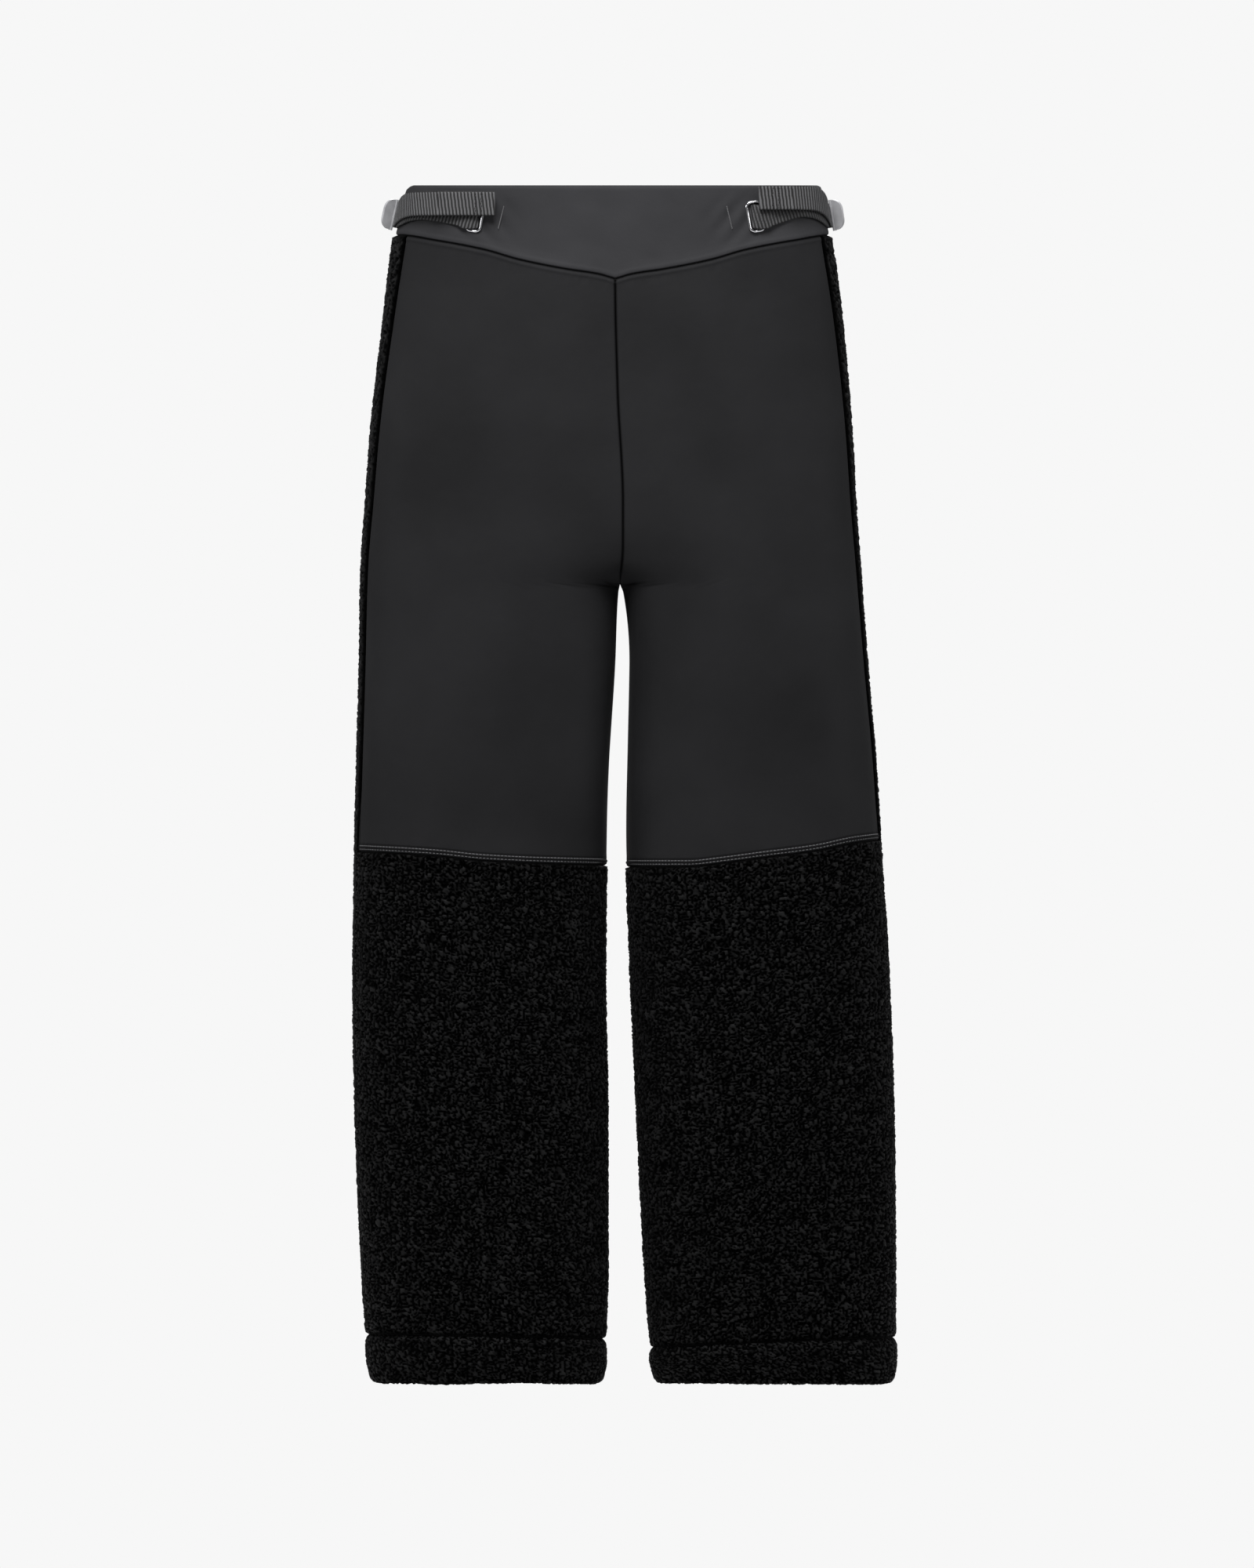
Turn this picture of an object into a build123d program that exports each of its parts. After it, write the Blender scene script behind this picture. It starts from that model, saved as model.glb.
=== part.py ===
"""Ski pants, standing open as worn: smooth front panels, fleece backs and lower legs, a waistband
whose front dips to a point, and a webbing adjuster with a wire ring and a ladder buckle at each hip.

Millimetres. The origin is the centre of the waist opening, at the waistband's top edge. +Z is up,
-Y is the front and +X is the wearer's left. Every piece is built on the +X side and mirrored for
the wearer's right, whose leg hangs a little straighter than the left one.
"""

import math
import os
from collections import namedtuple
from functools import cache

from build123d import *

SIDES = ("left", "right")

# ---- Body shape ------------------------------------------------------------------------------
# The surface of the smooth fabric at each height: its depth in front and behind, and for each leg
# the distance from the centre plane to its outer and inner side. An inner side below zero reaches
# past the centre plane, so that the two halves run into each other above the crotch.
Row = namedtuple("Row", "z front back left_outer left_inner right_outer right_inner")
ROWS = (
    Row(0, 52, 52, 171, -260, 173, -260),
    Row(-45, 52, 60, 178, -260, 183, -260),
    Row(-110, 58, 70, 186, -260, 191, -260),
    Row(-200, 65, 84, 194, -260, 201, -260),
    Row(-270, 69, 86, 198, -190, 206, -190),
    Row(-310, 71, 83, 201, -60, 209, -60),
    Row(-335, 71, 80, 203, 2, 210, 1),
    Row(-400, 71, 74, 208, 9, 211, 3),
    Row(-480, 69, 66, 215, 9, 213, 6),
    Row(-560, 66, 58, 220, 11, 215, 9),
    Row(-660, 62, 58, 226, 15, 216, 10),
    Row(-780, 58, 61, 230, 21, 214, 8),
    Row(-900, 55, 56, 231, 27, 209, 8),
    Row(-999, 52, 52, 231, 34, 202, 11),
)
SQUARENESS = 2.5  # 2 is an ellipse, and more is squarer
LEAST_INNER = 4  # sets where a pelvis section is widest
SECTION_POINTS = 24
OVERRUN = 10  # how far an inner surface runs past the cloth's ends

# ---- Cloth -----------------------------------------------------------------------------------
CLOTH = 1.6  # one layer of smooth cloth, and the backing of the fleece
PILE = 4.0  # how far the fleece stands above the smooth surface
HEM_PILE = 4.6
HEM_TURN = 5.0  # the turned-up layer inside the hem
# The waistband's three layers, each between two gaps from the smooth surface: the outer cloth, the
# interlining or elastic, and the facing.
OUTER_LAYER, MIDDLE_LAYER, INNER_LAYER = (0, -1.25), (-1.6, -3.0), (-3.35, -4.75)

WAISTBAND_BOTTOM = -42  # at the sides and the back
YOKE_POINT = -78  # the front's lowest point, at the centre
YOKE_SEAM = ((0, YOKE_POINT), (14, -74), (55, -67), (108, -54), (150, -46), (178, WAISTBAND_BOTTOM))
HEM_TOP = -958
CORE_BOTTOM = WAISTBAND_BOTTOM + 4
FACING_BOTTOM = WAISTBAND_BOTTOM + 1
YOKE_GAP = 0.6  # between the waistband and the panels sewn to it

# The knee seam, from the inseam to the outer side, as distance from the centre and height.
KNEE_SEAM = {
    "left": ((-5, -567), (60, -567), (140, -557), (245, -544)),
    "right": ((-5, -566), (70, -564), (150, -559), (245, -553)),
}
# The side seam is a plane: its y at the waist on the outer side, at the hem on the outer side and
# at the crotch on the inner side.
SIDE_SEAM = {"left": (-26, 14, 10), "right": (-30, -2, 10)}

STITCH_ROWS = (1.3, 4.0)  # the two rows' heights above the knee seam
STITCH_WIDTH = 0.9
STITCH_HEIGHT = 0.5
STITCH_SUNK = 0.4

# ---- Adjuster --------------------------------------------------------------------------------
WEBBING_WIDTH = 19.5
WEBBING = 1.3  # its thickness
STRAP_Z = -26  # the height of the ring and the buckle
SLOT_ROOM = 0.3  # between the webbing and the slot that it leaves by

ANCHOR_X = 92  # the webbing's hidden end
SLOT_X = 113
RING_FRONT_X = 110.6
RING_LENGTH = 12.6  # between the centres of the front and rear bars
RING_HEIGHT = 24.6  # between the centres of the top and bottom bars
RING_WIRE = 1.1  # radius
RING_CORNER = 4.5
RING_GAP = 0.5
RING_LEAN = 10  # degrees
STAND_OFF = 9  # the tail's centreline in front of the waistband

TAIL_JOIN_X = 145  # where the sliding tail meets the part round the side
TAIL_END_X = {"left": 120.5, "right": 101}
TAIL_Z = {"left": -10.5, "right": -15.4}
JOIN_GAP = 0.4  # between the sliding tail and the part round the side
TAIL_FOLD = 21  # the length turned back at the free end
TAIL_STITCHES = (10.5, 15.5)  # distances from the free end

BARTACK_X = 95
BARTACK_LENGTH = 18
BARTACK_LEAN = 15  # degrees

# The buckle in its own plane: p outward from the waistband, q rearward.
BAR_P = 5.8
BAR_RADIUS = 1.6
BAR_Q = {"front": -2.5, "middle": 5.5, "fixed": 14}
RAIL_INNER = 10.3
RAIL_OUTER = 13.0
THUMB_LENGTH = 11
THUMB_WIDTH = 25
THUMB_THICK = 2.2
THUMB_CORNER = 8.5
THUMB_ANGLE = 38  # degrees forward from straight out
WRAP_GAP = 0.15
TAB_END_Q = 30
TAB_LAYERS = 2.5  # between the tab's two layers, measured along p

os.makedirs("parts", exist_ok=True)


def save(part, name):
    part.label = name
    export_step(part, f"parts/{name}.step")


# ---- Sections --------------------------------------------------------------------------------


def reach(row, side):
    """The section's middle, and how far it reaches outward and inward from there."""
    outer = getattr(row, side + "_outer")
    inner = getattr(row, side + "_inner")
    middle = (outer + max(inner, LEAST_INNER)) / 2
    return middle, outer - middle, middle - inner


def section_point(row, side, angle, gap):
    """A point of the rounded section, gap outside the smooth surface; 0 points outward, 90 back."""
    middle, outward, inward = reach(row, side)
    c, s = math.cos(angle), math.sin(angle)
    across = (outward if c > 0 else inward) + gap
    along = (row.back if s > 0 else row.front) + gap
    x = middle + across * math.copysign(abs(c) ** (2 / SQUARENESS), c)
    y = along * math.copysign(abs(s) ** (2 / SQUARENESS), s)
    return x, y


def row_at(z):
    """The row at a height inside the waistband, where the surface is straight from row to row."""
    top, bottom = ROWS[0], ROWS[1]
    share = (top.z - z) / (top.z - bottom.z)
    return Row(*(a + (b - a) * share for a, b in zip(top, bottom)))


def front_y(x, side, gap=0.0):
    """The y of the waistband's front at the strap's height, gap outside it."""
    middle, outward, inward = reach(row_at(STRAP_Z), side)
    share = abs(x - middle) / (outward if x > middle else inward)
    depth = row_at(STRAP_Z).front
    return -depth * (1 - share**SQUARENESS) ** (1 / SQUARENESS) - gap


def mirrored(part, side):
    """The part as built, or its mirror image for the wearer's right."""
    if side == "left":
        return part
    with BuildPart() as other:
        mirror(part, about=Plane.YZ)
    return other.part


# ---- Tubes and shells ------------------------------------------------------------------------


@cache
def leg_tube(side, gap, overrun=0):
    """One half of the pants as a solid, gap outside the smooth surface, on the +X side."""
    rows = list(ROWS)
    if overrun:
        rows = [ROWS[0]._replace(z=ROWS[0].z + overrun), *ROWS, ROWS[-1]._replace(z=ROWS[-1].z - overrun)]
    with BuildPart() as tube:
        for row in rows:
            with BuildSketch(Plane.XY.offset(row.z)):
                with BuildLine():
                    turns = (2 * math.pi * i / SECTION_POINTS for i in range(SECTION_POINTS))
                    Spline(*(section_point(row, side, turn, gap) for turn in turns), periodic=True)
                make_face()
        loft()
    return tube.part


def leg_shell(side, outer_gap, inner_gap):
    """One half's wall between two gaps, cut at the centre plane, where the other half meets it."""
    with BuildPart() as shell:
        add(leg_tube(side, outer_gap))
        add(leg_tube(side, inner_gap, OVERRUN), mode=Mode.SUBTRACT)
        split(bisect_by=Plane.YZ, keep=Keep.TOP)
    return shell.part


@cache
def waist_tube(gap, overrun=0):
    """The waistband's whole outline as a solid, gap outside the smooth surface."""
    rows = [ROWS[0], ROWS[1], ROWS[2]]
    if overrun:
        rows[0] = rows[0]._replace(z=overrun)
        rows[2] = rows[2]._replace(z=rows[2].z - overrun)
    with BuildPart() as tube:
        for row in rows:
            points = []
            for side in SIDES:
                middle, _, inward = reach(row, side)
                last = math.acos(-((middle / (inward + gap)) ** (SQUARENESS / 2)))
                half = [
                    section_point(row, side, last * (i / 8 - 1), gap)
                    for i in range(0 if side == "left" else 1, 17 if side == "left" else 16)
                ]
                points += half if side == "left" else [(-x, y) for x, y in reversed(half)]
            with BuildSketch(Plane.XY.offset(row.z)):
                with BuildLine():
                    Spline(*points, periodic=True)
                make_face()
        loft(ruled=True)
    return tube.part


def waist_shell(outer_gap, inner_gap):
    with BuildPart() as shell:
        add(waist_tube(outer_gap))
        add(waist_tube(inner_gap, OVERRUN), mode=Mode.SUBTRACT)
    return shell.part


# ---- Cutters ---------------------------------------------------------------------------------
FAR = 300


@cache
def waistband_space(lift=0):
    """All above the waistband's lower seam: pointed in front, level behind."""
    seam = [(x, z + lift) for x, z in YOKE_SEAM]
    with BuildPart() as space:
        with BuildSketch(Plane.XZ):
            for way in (1, -1):
                with BuildLine():
                    Spline(*((way * x, z) for x, z in seam))
                    Polyline(
                        (way * seam[-1][0], seam[-1][1]),
                        (way * FAR, seam[-1][1]),
                        (way * FAR, OVERRUN),
                        (0, OVERRUN),
                        seam[0],
                    )
                make_face()
        extrude(amount=FAR)
        with BuildSketch(Plane.XZ):
            with Locations((0, (OVERRUN + WAISTBAND_BOTTOM + lift) / 2)):
                Rectangle(2 * FAR, OVERRUN - WAISTBAND_BOTTOM - lift)
        extrude(amount=-FAR)
    return space.part


def side_seam_plane(side):
    """The plane that parts front from back, its normal to the rear."""
    top, bottom, inner = SIDE_SEAM[side]
    outer_top = getattr(ROWS[1], side + "_outer")
    drop = ROWS[1].z - ROWS[-1].z
    crotch = ROWS[6].z
    per_z = (top - bottom) / drop
    at_centre = inner - per_z * crotch
    per_x = (top - per_z * ROWS[1].z - at_centre) / outer_top
    return Plane(origin=(0, at_centre, 0), z_dir=(-per_x, 1, -per_z))


@cache
def knee_space(side):
    """All above the knee seam, on the +X side."""
    with BuildPart() as space:
        with BuildSketch(Plane.XZ.offset(-FAR)):
            with BuildLine():
                seam = Spline(*KNEE_SEAM[side])
                Polyline(seam @ 1, (FAR, 20), (-5, 20), seam @ 0)
            make_face()
        extrude(amount=2 * FAR)
    return space.part


# ---- Cloth panels ----------------------------------------------------------------------------


def front_thigh_panel(side):
    with BuildPart() as panel:
        add(leg_shell(side, 0, -CLOTH))
        split(bisect_by=side_seam_plane(side), keep=Keep.BOTTOM)
        add(waistband_space(-YOKE_GAP), mode=Mode.SUBTRACT)
        add(knee_space(side), mode=Mode.INTERSECT)
    return mirrored(panel.part, side)


def front_shin_panel(side):
    with BuildPart() as panel:
        add(leg_shell(side, PILE, -CLOTH))
        split(bisect_by=side_seam_plane(side), keep=Keep.BOTTOM)
        split(bisect_by=Plane.XY.offset(HEM_TOP), keep=Keep.TOP)
        add(knee_space(side), mode=Mode.SUBTRACT)
    return mirrored(panel.part, side)


def back_panel(side):
    with BuildPart() as panel:
        add(leg_shell(side, PILE, -CLOTH))
        split(bisect_by=side_seam_plane(side), keep=Keep.TOP)
        split(bisect_by=Plane.XY.offset(HEM_TOP), keep=Keep.TOP)
        add(waistband_space(), mode=Mode.SUBTRACT)
    return mirrored(panel.part, side)


def hem(side):
    with BuildPart() as band:
        add(leg_shell(side, HEM_PILE, -HEM_TURN))
        split(bisect_by=Plane.XY.offset(HEM_TOP), keep=Keep.BOTTOM)
    return mirrored(band.part, side)


def knee_topstitch(side):
    """Two raised rows of thread along the knee seam, sewn into the smooth panel."""
    with BuildPart() as rows:
        add(leg_shell(side, STITCH_HEIGHT, -STITCH_SUNK))
        split(bisect_by=side_seam_plane(side), keep=Keep.BOTTOM)
        with BuildSketch(Plane.XZ.offset(-FAR)):
            for height in STITCH_ROWS:
                with BuildLine():
                    row = Spline(*((x, z + height) for x, z in KNEE_SEAM[side]))
                trace(row, line_width=STITCH_WIDTH)
        extrude(amount=2 * FAR, mode=Mode.INTERSECT)
    return mirrored(rows.part, side)


def waistband_layer(gaps, front, lift=0, cutters=()):
    """The front or back half of one layer of the waistband."""
    with BuildPart() as layer:
        add(waist_shell(*gaps))
        split(bisect_by=Plane.XZ, keep=Keep.TOP if front else Keep.BOTTOM)
        add(waistband_space(lift), mode=Mode.INTERSECT)
        for cutter in cutters:
            add(cutter, mode=Mode.SUBTRACT)
    return layer.part


# ---- Webbing ---------------------------------------------------------------------------------


def webbing(points, slope, room=0.0):
    """Webbing through points (x, y, z), flat to the waistband, which leans out by slope."""
    with BuildPart() as band:
        for i, point in enumerate(points):
            before, after = points[max(i - 1, 0)], points[min(i + 1, len(points) - 1)]
            along = Vector(*after) - Vector(*before)
            level = Vector(-along.Y, along.X, 0).normalized() * -1
            outward = Vector(level.X, level.Y, slope * level.X)
            with BuildSketch(Plane(origin=point, x_dir=outward, z_dir=along)):
                Rectangle(WEBBING + 2 * room, WEBBING_WIDTH + 2 * room)
        loft(ruled=True)
    return band.part


def slope_of(side):
    """How far the waistband's side leans out for each millimetre down."""
    outer = side + "_outer"
    return (getattr(ROWS[1], outer) - getattr(ROWS[0], outer)) / (ROWS[0].z - ROWS[1].z)


def standing_points(side):
    """From the hidden end, out through the slot, over the ring's rear bar and round to the buckle."""
    row = row_at(STRAP_Z)
    inside = sum(MIDDLE_LAYER) / 2
    hold = RING_GAP + 2 * RING_WIRE + WEBBING / 2 + 0.7
    rear_x = RING_FRONT_X + RING_LENGTH
    points = [
        (x, front_y(x, side, gap), STRAP_Z)
        for x, gap in (
            (ANCHOR_X, inside),
            (ANCHOR_X + 8, inside),
            (SLOT_X - 4.5, inside + 0.3),
            (SLOT_X, 0.2),
            (SLOT_X + 2, 2.0),
            (rear_x - 4.5, hold),
            (rear_x + 4.5, hold),
        )
    ]
    round_side = [section_point(row, side, math.radians(a), 1.2) for a in (-56, -45, -32, -18, -6, 6)]
    return points + [(x, y, STRAP_Z) for x, y in round_side]


def slot(side):
    """The room that the webbing's hidden end takes up, out through the waistband's front."""
    return mirrored(webbing(standing_points(side)[:5], slope_of(side), SLOT_ROOM), side)


def round_side_points(side):
    """The outer layer, from the buckle to where the sliding tail begins."""
    row = row_at(STRAP_Z)
    tail_z = TAIL_Z[side]
    gaps = {2: 3.0, -6: 3.1, -18: 3.7, -32: 5.5}
    lifts = {2: 0, -6: 0, -18: 1, -32: (tail_z - STRAP_Z) / 2}
    bends = [(*section_point(row, side, math.radians(a), gap), STRAP_Z + lifts[a]) for a, gap in gaps.items()]
    free, join = tail_ends(side)
    lead = join + (join - free).normalized() * 5
    return [*bends, tuple(lead), tuple(join)]


def tail_ends(side):
    """The sliding tail's free end, and its end at the part round the side."""
    free = Vector(TAIL_END_X[side], front_y(TAIL_END_X[side], side, STAND_OFF), TAIL_Z[side])
    join = Vector(TAIL_JOIN_X, front_y(TAIL_JOIN_X, side, STAND_OFF + 2), TAIL_Z[side])
    return free, join


def strap_standing(side):
    return mirrored(webbing(standing_points(side), slope_of(side)), side)


def strap_round_side(side):
    return mirrored(webbing(round_side_points(side), slope_of(side)), side)


def strap_tail(side):
    """The tail, with its free end turned back on the inner face."""
    free, join = tail_ends(side)
    along = (join - free).normalized()
    inward = Vector(-along.Y, along.X, 0)
    fold = Plane(origin=free + inward * WEBBING + along * TAIL_FOLD / 2, x_dir=along, z_dir=inward)
    with BuildPart() as tail:
        add(webbing([tuple(free), tuple(join - along * JOIN_GAP)], 0))
        with BuildSketch(fold.offset(-WEBBING / 2 - 0.3)):
            Rectangle(TAIL_FOLD, WEBBING_WIDTH)
        extrude(amount=WEBBING + 0.3)
    return mirrored(tail.part, side)


def tail_stitch(side):
    """Two rows of thread across the tail's outer face, proud of it."""
    free, join = tail_ends(side)
    along = (join - free).normalized()
    outward = Vector(along.Y, -along.X, 0)
    face = Plane(origin=free + outward * (WEBBING / 2 + 0.02), x_dir=along, z_dir=outward)
    with BuildPart() as rows:
        with BuildSketch(face):
            with Locations(*((distance, 0) for distance in TAIL_STITCHES)):
                Rectangle(0.8, WEBBING_WIDTH - 2)
        extrude(amount=STITCH_HEIGHT)
    return mirrored(rows.part, side)


def strap_bartack(side):
    """The row of thread that holds the webbing's hidden end, standing on the waistband."""
    with BuildPart() as row:
        with BuildSketch(Plane.XZ.offset(-front_y(BARTACK_X - 4, side, 0.15))):
            with Locations((BARTACK_X, STRAP_Z - 1)):
                Rectangle(1.2, BARTACK_LENGTH, rotation=BARTACK_LEAN)
        extrude(amount=0.7)
    return mirrored(row.part, side)


# ---- Metal -----------------------------------------------------------------------------------


def ring_plane(side):
    """The ring's own plane: x from the front bar to the rear bar, y up along the bars."""
    gap = RING_GAP + RING_WIRE
    rear_x = RING_FRONT_X + RING_LENGTH
    front = Vector(RING_FRONT_X, front_y(RING_FRONT_X, side, gap), STRAP_Z)
    rear = Vector(rear_x, front_y(rear_x, side, gap), STRAP_Z)
    along = (rear - front).normalized()
    lean = math.radians(RING_LEAN)
    leaning = along * math.cos(lean) + Vector(0, 0, math.sin(lean))
    return Plane(origin=(front + rear) / 2, x_dir=leaning, z_dir=Vector(along.Y, -along.X, 0))


def ring(side):
    half_length, half_height = RING_LENGTH / 2, RING_HEIGHT / 2
    with BuildPart() as wire:
        with BuildLine(ring_plane(side)) as path:
            FilletPolyline(
                (-half_length, half_height),
                (-half_length, -half_height),
                (half_length, -half_height),
                (half_length, half_height),
                radius=RING_CORNER,
                close=True,
            )
        with BuildSketch(Plane(origin=path.line @ 0, z_dir=path.line % 0)):
            Circle(RING_WIRE)
        sweep()
    return mirrored(wire.part, side)


def buckle_plane(side):
    """The buckle's own plane: x outward from the waistband, y rearward, z up its leaning side."""
    slope = slope_of(side)
    outer = getattr(row_at(STRAP_Z), side + "_outer")
    return Plane(origin=(outer, 0, STRAP_Z), x_dir=(1, 0, slope), z_dir=(-slope, 0, 1))


def buckle(side):
    plane = buckle_plane(side)
    rail_length = BAR_Q["fixed"] - BAR_Q["front"] + 2 * BAR_RADIUS
    rail_middle = (BAR_Q["fixed"] + BAR_Q["front"]) / 2
    lean = math.radians(THUMB_ANGLE)
    out = plane.x_dir * math.cos(lean) - plane.y_dir * math.sin(lean)
    root = plane.origin + plane.x_dir * BAR_P + plane.y_dir * BAR_Q["front"]
    thumb = Plane(origin=root, x_dir=out, z_dir=plane.z_dir.cross(out))
    with BuildPart() as body:
        for way in (1, -1):
            with BuildSketch(plane.offset(way * RAIL_INNER)):
                with Locations((BAR_P, rail_middle)):
                    RectangleRounded(2 * BAR_RADIUS, rail_length, 1.5)
            extrude(amount=way * (RAIL_OUTER - RAIL_INNER))
        for q in BAR_Q.values():
            with BuildSketch(plane.offset(-RAIL_INNER - 0.5)):
                with Locations((BAR_P, q)):
                    Circle(BAR_RADIUS)
            extrude(amount=2 * RAIL_INNER + 1)
        with BuildSketch(thumb.offset(-THUMB_THICK / 2)):
            with Locations((THUMB_LENGTH / 2, 0)):
                Rectangle(THUMB_LENGTH, THUMB_WIDTH)
            fillet(vertices().sort_by(Axis.X)[-2:], THUMB_CORNER)
        extrude(amount=THUMB_THICK)
    return mirrored(body.part, side)


def strap_wrap(side):
    """The webbing's turn round the buckle's middle bar."""
    plane = buckle_plane(side)
    radius = BAR_RADIUS + WRAP_GAP + WEBBING / 2
    with BuildPart() as turn:
        with BuildSketch(plane.offset(-WEBBING_WIDTH / 2)):
            with BuildLine():
                arc = CenterArc((BAR_P, BAR_Q["middle"]), radius, -120, 240)
            trace(arc, line_width=WEBBING)
        extrude(amount=WEBBING_WIDTH)
    return mirrored(turn.part, side)


def side_p(side, q, gap):
    """The waistband's p beside the buckle, at q, gap outside it."""
    row = row_at(STRAP_Z)
    _, outward, _ = reach(row, side)
    return outward * ((1 - (abs(q) / row.back) ** SQUARENESS) ** (1 / SQUARENESS) - 1) + gap


def tab_route(side, further):
    """Where a layer of the tab lies against the waistband, from its end forward."""
    return [(side_p(side, q, gap + further), q) for q, gap in ((TAB_END_Q, 3.0), (26, 2.5), (22, 2.0))]


def tab_lead(side):
    """The tab's direction at its end, forward along the waistband."""
    (p, q), (next_p, next_q), _ = tab_route(side, 0)
    return Vector(next_p - p, next_q - q).normalized()


def buckle_tab(side):
    """Webbing from the waistband forward, round the buckle's fixed bar and back."""
    radius = BAR_RADIUS + WRAP_GAP + WEBBING / 2
    bar_q = BAR_Q["fixed"]
    with BuildPart() as tab:
        with BuildSketch(buckle_plane(side).offset(-WEBBING_WIDTH / 2)):
            back, lead = tab_route(side, TAB_LAYERS), tab_lead(side)
            with BuildLine():
                turn = CenterArc((BAR_P, bar_q), radius, -180, 180)
                inner = Spline(*tab_route(side, 0), turn @ 0, tangents=(lead, turn % 0))
                outer = Spline(turn @ 1, *reversed(back), tangents=(turn % 1, lead * -1))
            trace([inner, turn, outer], line_width=WEBBING)
        extrude(amount=WEBBING_WIDTH)
    return mirrored(tab.part, side)


def tab_stitch(side):
    """The row of thread that sews the tab's two layers to the waistband."""
    plane = buckle_plane(side)
    ends = [Vector(side_p(side, q, gap), q) for q, gap in ((26, 6.7), (28, 6.95))]
    with BuildPart() as row:
        with BuildSketch(plane.offset(-WEBBING_WIDTH / 2 + 1)):
            with BuildLine():
                line = Line(ends[0], ends[1])
            trace(line, line_width=STITCH_HEIGHT)
        extrude(amount=WEBBING_WIDTH - 2)
    return mirrored(row.part, side)


# ---- Inside the waist ------------------------------------------------------------------------
LOOP_WIDTH = 6
LOOP_THICK = 0.8
LOOP_TOP, LOOP_BOTTOM = -7, -64


def hanger_loop(side):
    """A folded ribbon inside the side seam, for a hanger's hooks."""
    inner_x = getattr(ROWS[0], side + "_outer") - 3 * CLOTH - 1.2
    with BuildPart() as loop:
        with BuildSketch(Plane.XZ.offset(-LOOP_WIDTH / 2)):
            with BuildLine():
                drop = Line((inner_x, LOOP_TOP), (inner_x, LOOP_BOTTOM))
                fold = TangentArc(drop @ 1, (inner_x - 2.4, LOOP_BOTTOM), tangent=drop % 1)
                rise = Line(fold @ 1, (inner_x - 2.4, LOOP_TOP))
            trace([drop, fold, rise], line_width=LOOP_THICK)
        extrude(amount=LOOP_WIDTH)
    return mirrored(loop.part, side)


def care_label():
    """A blank label inside the left side seam, hanging from the waistband."""
    x = ROWS[1].left_outer - 3 * CLOTH - 7
    with BuildPart() as label:
        with Locations((x, 12.5, -62)):
            Box(0.5, 18, 44)
    return label.part


def size_tab():
    """A blank tab on the facing at the centre back."""
    with BuildPart() as tab:
        with BuildSketch(Plane.XZ.offset(-(ROWS[0].back - 3 * CLOTH - 2.2))):
            with Locations((0, -14)):
                RectangleRounded(34, 14, 2)
        extrude(amount=0.6)
    return tab.part


# ---- Build -----------------------------------------------------------------------------------
PAIRED = (
    front_thigh_panel,
    front_shin_panel,
    back_panel,
    hem,
    knee_topstitch,
    strap_standing,
    strap_round_side,
    strap_tail,
    tail_stitch,
    strap_bartack,
    ring,
    buckle,
    strap_wrap,
    buckle_tab,
    tab_stitch,
    hanger_loop,
)


def main():
    for make in PAIRED:
        for side in SIDES:
            save(make(side), f"{make.__name__}_{side}")
    slots = [slot(side) for side in SIDES]
    core, facing = CORE_BOTTOM - WAISTBAND_BOTTOM, FACING_BOTTOM - WAISTBAND_BOTTOM
    save(waistband_layer(OUTER_LAYER, True, cutters=slots), "waistband_front")
    save(waistband_layer(OUTER_LAYER, False), "waistband_back")
    save(waistband_layer(MIDDLE_LAYER, True, core, slots), "waistband_interlining")
    save(waistband_layer(MIDDLE_LAYER, False, core), "waist_elastic")
    save(waistband_layer(INNER_LAYER, True, facing), "waistband_facing_front")
    save(waistband_layer(INNER_LAYER, False, facing), "waistband_facing_back")
    save(care_label(), "care_label")
    save(size_tab(), "size_tab")


main()
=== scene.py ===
"""Ski pants: softshell waistband and thigh fronts, sherpa fleece legs and backs, and a webbing
adjuster at each hip. Lengths are in millimetres until a mesh is made, in the CAD's own frame."""

import math

import bpy
import numpy as np
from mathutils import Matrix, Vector


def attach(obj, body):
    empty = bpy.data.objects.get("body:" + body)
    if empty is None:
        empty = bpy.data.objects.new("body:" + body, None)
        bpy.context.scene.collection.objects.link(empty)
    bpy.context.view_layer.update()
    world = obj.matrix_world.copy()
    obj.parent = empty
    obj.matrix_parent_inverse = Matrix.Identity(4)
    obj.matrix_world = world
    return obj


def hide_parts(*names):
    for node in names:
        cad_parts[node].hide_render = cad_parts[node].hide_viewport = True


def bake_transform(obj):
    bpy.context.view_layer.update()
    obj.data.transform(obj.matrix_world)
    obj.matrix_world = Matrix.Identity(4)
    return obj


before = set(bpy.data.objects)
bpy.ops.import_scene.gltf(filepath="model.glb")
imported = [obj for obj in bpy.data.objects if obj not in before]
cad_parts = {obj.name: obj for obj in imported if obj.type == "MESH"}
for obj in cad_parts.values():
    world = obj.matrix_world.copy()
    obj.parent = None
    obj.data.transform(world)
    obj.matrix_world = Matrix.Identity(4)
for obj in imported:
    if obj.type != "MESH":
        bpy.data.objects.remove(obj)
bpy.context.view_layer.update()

SIDES = ("left", "right")
MM = 0.001

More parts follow.
